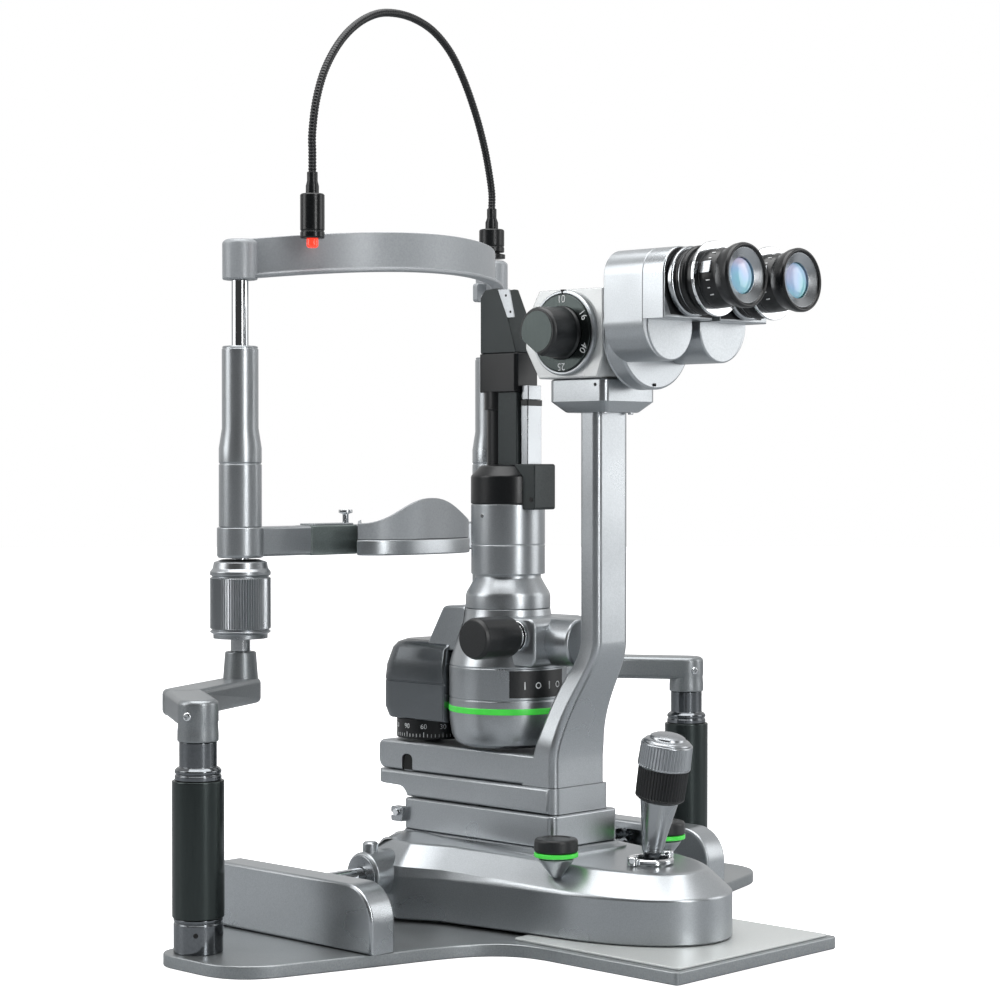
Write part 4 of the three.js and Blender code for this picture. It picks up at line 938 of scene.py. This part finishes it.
for word, side in both_sides:
    crown = arc(-18.5, 505, 14, 0, 90, 14) + arc(-39.5, 499, 20, 90, 180, 18)
    hood = slab([(-4.5, 467)] + crown + [(-59.5, 467)], -257, -236, "Y", 1.4)
    spine = slab([(-4.5, 463)] + crown + drawn((-59.5, 466),
                                               (-59.5, 451, -45.6, 437.5, -29.6, 437.5),
                                               (-15.6, 437.5, -4.5, 449, -4.5, 463),
                                               fineness=18)[:-1], -237, -199.3, "Y", 0.8)
    lobe = turned([[0, -238], [24.6, -238], [25.5, -237.1], [25.5, -199.3], [0, -199.3]],
                  (-29.6, 0, 463), "Y", 128, 0.5)
    plate_line = ([(-5.3, 468.5), (-5.3, 505)] + arc(-18.5, 505, 13.2, 0, 90, 14)[1:]
                  + arc(-39.5, 499, 19.2, 90, 180, 18) + [(-58.7, 483), (-52, 469.5)])
    plate = slab(plate_line, -257.5, -256.6, "Y", 0.3)
    housing = carved(hood, spine, lobe, how="UNION")
    if side > 0:
        for shape in (housing, plate):
            bmesh.ops.scale(shape, vec=(-1, 1, 1), verts=shape.verts)
    piece(f"prism_hood_{word}", housing, silver_enamel, f"prism_{word}", [f"prism_housing_{word}"])
    # The thin black plate on each hood's front is partly a dark front and partly painted reflection: it
    # darkens the face as a dark room mirrored in the enamel would.
    piece(f"prism_front_{word}", plate, black_enamel, f"prism_{word}")

    at = (side * 32, -257, 493.5)

    def ocular(*shapes):
        """Puts shapes made on the Y axis onto the eyepiece's seat, tipped up a little."""
        whole = joined(*shapes)
        swung(whole, -2.5, "X")
        bmesh.ops.translate(whole, vec=at, verts=whole.verts)
        return whole

    body = f"eyepiece_{word}"
    piece(f"ocular_seat_{word}",
          ocular(turned([[0, -1.6], [25.5, -1.6], [25.5, -5], [24.4, -5.8], [0, -5.8]], along="Y",
                        sides=128),
                 turned([[0, -10], [24, -10], [24, -11.4], [0, -11.4]], along="Y", sides=128,
                        ease=0.2)), steel, body)
    piece(f"ocular_barrel_{word}",
          ocular(turned([[0, -5.8], [23.4, -5.8], [23.4, -6.6], [22.9, -6.8], [22.9, -7.4],
                         [23.4, -7.6], [23.4, -8.4], [22.9, -8.6], [22.9, -9.2], [23.4, -9.4],
                         [23.4, -10], [0, -10]], along="Y", sides=128, ease=0.2),
                 turned([[0, -11.4], [25, -11.4], [25, -12.4], [24.4, -12.6], [24.4, -13.2],
                         [25, -13.4], [25, -14.4], [24, -15.6], [22, -16.4], [21.8, -24], [0, -24]],
                        along="Y", sides=128, ease=0.3),
                 turned([[12.5, -26.6], [21.6, -26.6], [21.4, -34], [20.4, -38.6], [20.2, -40.2],
                         [23, -48], [23.4, -52], [22.6, -54], [21.2, -54], [20, -52.5],
                         [17.6, -47.5], [12.5, -47], [12.5, -26.6]], along="Y", sides=128,
                        ease=0.6)), black_enamel, body, [f"eyepiece_{word}"])
    piece(f"ocular_flange_{word}",
          ocular(turned([[0, -24], [26.6, -24], [27, -24.4], [27, -26.2], [26.6, -26.6],
                         [0, -26.6]], along="Y", sides=128, ease=0.2)), chrome, body)
    piece(f"ocular_bezel_{word}",
          ocular(turned([[13.2, -47.2], [19.4, -51.6], [19.9, -52.6], [18.8, -52.2], [13.2, -49.2],
                         [13.2, -47.2]], along="Y", sides=128, ease=0.2)), steel, body)
    lens = [[0, -44], [13.3, -44], [13.3, -47.4], [11, -48.8], [7.5, -49.8], [3.5, -50.4],
            [0, -50.5]]
    piece(f"ocular_lens_{word}", ocular(turned(lens, along="Y", sides=96, ease=1.5)), coated_glass,
          body)
    ticks = []
    for k in range(-6, 7):
        tick = slab(rounded(-0.35, 0.35, -36.2 + (0.8 if k % 2 else 0), -33.2, 0.2, 2), 20.7, 21.6,
                    ease=0)
        ticks.append(swung(tick, k * 15 - 38, "Y"))
    piece(f"ocular_scale_{word}", ocular(*ticks), figure_white, body)
    pad = slab(rounded(-4.5, 4.5, -36.8, -28.4, 0.8, 4), 20.2, 21.9, ease=0.3)
    piece(f"ocular_window_{word}", ocular(swung(pad, -72, "Y")), steel, body)


# ---- lamp housing and angle ring ----
# The housing swings on the same axle as the arm and holds the drum in front of it. Its back
# is faceted, a joint runs round it below the middle, and two cheeks rise beside the barrel.

# A darker coat of the silver enamel.
graphite_enamel = surface("graphite_baked_enamel", "silver_paint", "#6B6F72", "#777B7E", 0.9,
                          (0.2, 0.27), 0.9, 0.006)
housing_line = ([(-30, -4), (30, -4)] + drawn((30, 54), (30, 71, 14, 74), fineness=10) + [(-14, 74)]
                + drawn((-14, 74), (-30, 71, -30, 54), fineness=10)[1:])
drum_axis = (0, -46, 0)
drum_room = turned([[0, 100], [46.9, 100], [46.9, 260], [0, 260]], drum_axis, sides=144, ease=0)
neck_room = turned([[0, 100], [9.6, 100], [9.6, 214.6], [0, 214.6]], swing_axis, ease=0)
rows = []
for z, back, side_in in [(157.3, 6, 0.8), (158.2, 5, 0), (166, 0, 0), (186.6, 0, 0),
                         (187, 0.5, 0.5), (187.6, 0.5, 0.5), (188, 0, 0), (200, 2, 0), (214, 8, 2),
                         (218.5, 12, 5), (221, 19, 10)]:
    row = []
    for x, y in eased(housing_line, 3, True):
        pull = max(0.0, y - 20) / 54
        row.append((x * (1 - side_in / 30), y - back * pull, z))
    rows.append(row)
housing = carved(lofted(rows), drum_room, neck_room)
piece("lamp_case", housing, graphite_enamel, "illumination", ["lamp_housing"])
cheek = slab([(-29.5, 214), (19, 214), (21, 219), (3, 249), (-2, 250), (-22, 250)], -24, 24, "X",
             1.6, corner=3)
cheek_room = turned([[0, 100], [46.9, 100], [46.9, 204.6], [44.9, 212.6], [35.4, 238.3], [34, 249],
                     [34, 280], [0, 280]], drum_axis, sides=144, ease=0)
piece("lamp_cheek", carved(cheek, cheek_room), silver_enamel, "illumination")

piece("scale_ring", turned([[9.6, 141.1], [30, 141.1], [30, 156.9], [9.6, 156.9], [9.6, 141.1]],
                           swing_axis, ease=0.6), black_enamel, "illumination", ["angle_ring"])
ticks = []
for k in range(60):
    tick = slab(rounded(-0.25, 0.25, 143, 145.6 if k % 5 else 147, 0.15, 2), -30.15, -29.6, "Y", 0)
    ticks.append(swung(tick, k * 6, "Z"))
ticks = joined(*ticks)
bmesh.ops.translate(ticks, vec=swing_axis, verts=ticks.verts)
piece("scale_ticks", ticks, figure_white, "illumination")
for k in range(12):
    value = abs(180 - (k * 30 + 180) % 360)
    turn = math.radians(k * 30)
    facing = (Matrix.Translation((0, 38, 151.4)) @ Matrix.Rotation(turn, 4, "Z")
              @ Matrix.Translation((0, -30.02, 0)) @ Matrix.Rotation(math.pi / 2, 4, "X"))
    figures(f"scale_{k}", str(value), 5.6, facing, figure_white, "illumination")


# ---- lamp drum ----
# A spun and enamelled drum holds the filters and the slit. A green ring runs round it over
# a joint, and a black panel with plain symbols is let into its side.

drum = turned([[0, 141.3], [35.5, 141.3], [41, 144], [44.5, 150.3], [46, 160], [46.4, 167.7],
               [46.4, 178.2], [45.7, 178.6], [45.7, 179.4], [46.4, 179.8], [46.5, 203.4],
               [45.8, 203.8], [45.8, 204.6], [46.2, 205], [44.5, 212], [35, 238], [33.5, 249],
               [0, 249]], drum_axis, sides=192, ease=0.5)
piece("drum", drum, silver_enamel, "illumination", ["lamp_drum"])
piece("drum_ring", turned([[40, 168.2], [46.6, 168.2], [46.9, 168.8], [46.9, 172.4], [46.6, 173],
                           [40, 173], [40, 168.2]], drum_axis, sides=192, ease=0.2), green_ring,
      "illumination")
panel_rows = []
for z in (181.5, 182, 202, 202.5):
    row = []
    for r in (46.2, 46.95):
        angles = range(225, 290, 3) if r > 46.5 else reversed(range(225, 290, 3))
        for degrees in angles:
            turn = math.radians(degrees)
            row.append((r * math.cos(turn), -46 + r * math.sin(turn), z))
    panel_rows.append(row)
piece("drum_panel", lofted(panel_rows), black_moulded, "illumination")
for degrees, kind in ((240, "bar"), (254, "ring"), (267, "bar"), (279, "ring")):
    turn = math.radians(degrees)
    if kind == "ring":
        mark = turned([[1.7, -0.1], [2.5, -0.1], [2.5, 0.3], [1.7, 0.3], [1.7, -0.1]], along="Y",
                      sides=32, ease=0)
    else:
        mark = slab(rounded(-0.5, 0.5, -3, 3, 0.4, 3), -0.1, 0.3, "Y", 0)
    mark = swung(mark, degrees + 90, "Z")
    spot = (46.85 * math.cos(turn), -46 + 46.85 * math.sin(turn), 191)
    bmesh.ops.translate(mark, vec=spot, verts=mark.verts)
    piece(f"drum_symbol_{degrees}", mark, figure_white, "illumination")


# ---- slit arm and knob ----
# The arm is a short wide barrel that crosses the drum's front, and the block behind it takes
# the black knob that sets the slit's width.

reach = turned([[0, -126], [17.4, -126], [19, -124.4], [19, -60], [0, -60]], (0, 0, 225), "Y", 128,
               0.6)
saddle = slab(rounded(-103, -60, 206, 244, 8), -30, 30, "X", 2)
arm_room = turned([[0, 100], [46.9, 100], [46.9, 204.6], [44.9, 212.6], [35.4, 238.3], [34, 249],
                   [34, 300], [0, 300]], drum_axis, sides=192, ease=0)
piece("cross_barrel", carved(carved(reach, saddle, how="UNION"), arm_room), silver_enamel,
      "illumination", ["slit_arm"])
piece("slit_grip", turned([[0, -39.3], [15, -39.3], [16, -42.3], [16.2, -60], [16, -75.3],
                           [14.5, -78.6], [0, -79.2]], (0, -84, 230), "X", 120, 0.8,
                          (12, 0.6, -74, -43)), black_moulded, "slit_control", ["slit_knob"])
piece("slit_collar", turned([[0, -30.4], [12, -30.4], [12, -32.4], [10, -33], [9, -39.5],
                             [0, -39.5]], (0, -84, 230), "X", 96, 0.4), chrome, "slit_control")


# ---- slit barrel and lamp column ----
# A silver turned barrel stands on the drum's neck. A black cone screws onto it and narrows to
# the lamp's tube, and the tube ends in the box that carries the mirror.

piece("neck_barrel", turned([[0, 249.3], [33.5, 249.3], [33.5, 259], [32.6, 262], [29, 268],
                             [26, 273.5], [26, 276], [29.2, 276], [29.2, 298.6], [28.8, 299],
                             [28.8, 299.6], [29.2, 300], [29.2, 331], [0, 331]], drum_axis,
                            sides=144, ease=0.7), silver_enamel, "illumination", ["slit_barrel"])
piece("neck_screw", turned([[0, -29.5], [1.7, -29.5], [1.7, -28], [0, -28]], (0, -46, 322), "X", 24,
                           0.2), chrome, "illumination")
cone = turned([[0, 331.3], [29.4, 331.3], [29.4, 352.6], [28.6, 354], [22, 361], [12, 362.4],
               [0, 362.4]], drum_axis, sides=128, ease=0.8)
tube = turned([[0, 355], [11, 355], [11, 405], [13, 405.4], [13, 420], [0, 420]], (0, -38, 0),
              sides=96, ease=0.4)
piece("lamp_tube", joined(cone, tube), black_enamel, "illumination", ["lamp_column"])
# Charcoal anodised plates, lighter than the enamel on the tube.
charcoal = surface("charcoal_anodised_plate", "black_metal", "#2B3030", "#363B3C", 0.8,
                   (0.34, 0.42), 0.5, 0.005)
piece("column_plate", slab(rounded(-11, 11, -66.3, -45, 1.2), 361.5, 419, ease=0.5), charcoal,
      "illumination")
piece("column_head", slab(rounded(-13, 13, -67, -26, 3), 419, 449.5, ease=0.8), black_enamel,
      "illumination")

bar = slab(rounded(-8, 8, -75, -67.2, 0.8, 3), 362, 410.6, ease=0.4)
piece("rear_strip", bar, steel, "illumination", ["rear_bar"])
piece("strip_cap", slab(rounded(-8.4, 8.4, -75.4, -67.2, 0.8, 3), 408, 412.6, ease=0.4),
      black_enamel, "illumination")
piece("strip_lug", slab(rounded(-7.5, 7.5, -75, -67.3, 0.8, 3), 412.8, 424, ease=0.5), steel,
      "illumination")
cone_room = turned([[0, 300], [29.8, 300], [29.8, 353], [22.4, 361.2], [22.4, 370], [0, 370]],
                   drum_axis, sides=128, ease=0)
clamp = slab(rounded(-86, -60, 327, 362.6, 2), -12, 12, "X", 1.0)
piece("cone_clamp", carved(clamp, cone_room), charcoal, "illumination")
piece("clamp_socket", turned([[0, -12.5], [1.9, -12.5], [1.9, -11.4], [0, -11.4]], (0, -82.5, 335),
                             "X", 32, 0.2), hole_shade_and_oxide_black, "illumination")


# ---- mirror head ----
# A wedge-shaped holder on the column's head leans back and holds the small front-silvered
# mirror that throws the slit at the eye. A silver plate stiffens its side.

holder = slab([(-66, 449.6), (-27, 449.6), (-27, 494), (-32, 500), (-46, 501), (-57, 478)], -12, 12,
              "X", 0.8, corner=1.5)
notch = slab([(-30, 503), (-47, 503), (-43, 488), (-30, 486)], -8.5, 8.5, "X", 0)
piece("mirror_holder", carved(holder, notch), charcoal, "illumination", ["mirror_head"])
# Front-silvered glass, as bright and smooth as anything here.
mirror_silver = surface("silvered_mirror", "machined_steel", "#E6EAEC", "#EEF1F2", 3.0,
                        (0.02, 0.04), 1.0, 0.0002)
piece("mirror", slab(rounded(-9.5, 9.5, -26.6, -25.4, 0.4, 2), 455, 496, ease=0.3), mirror_silver,
      "illumination")
plate = slab([(-57.5, 477), (-65, 477), (-59.5, 499.5), (-47, 499.5)], -12.9, -11.9, "X", 0.3,
             corner=0.8)
piece("mirror_side_plate", plate, silver_enamel, "illumination")
# The plate's holes are flat black discs: painted shade where the holes would be dark.
for name, y, z in (("upper", -56, 494.5), ("lower", -61, 481.5)):
    piece(f"plate_hole_{name}", turned([[0, -13.1], [1.0, -13.1], [1.0, -12.4], [0, -12.4]],
                                       (0, y, z), "X", 24, 0.1), hole_shade_and_oxide_black, "illumination")
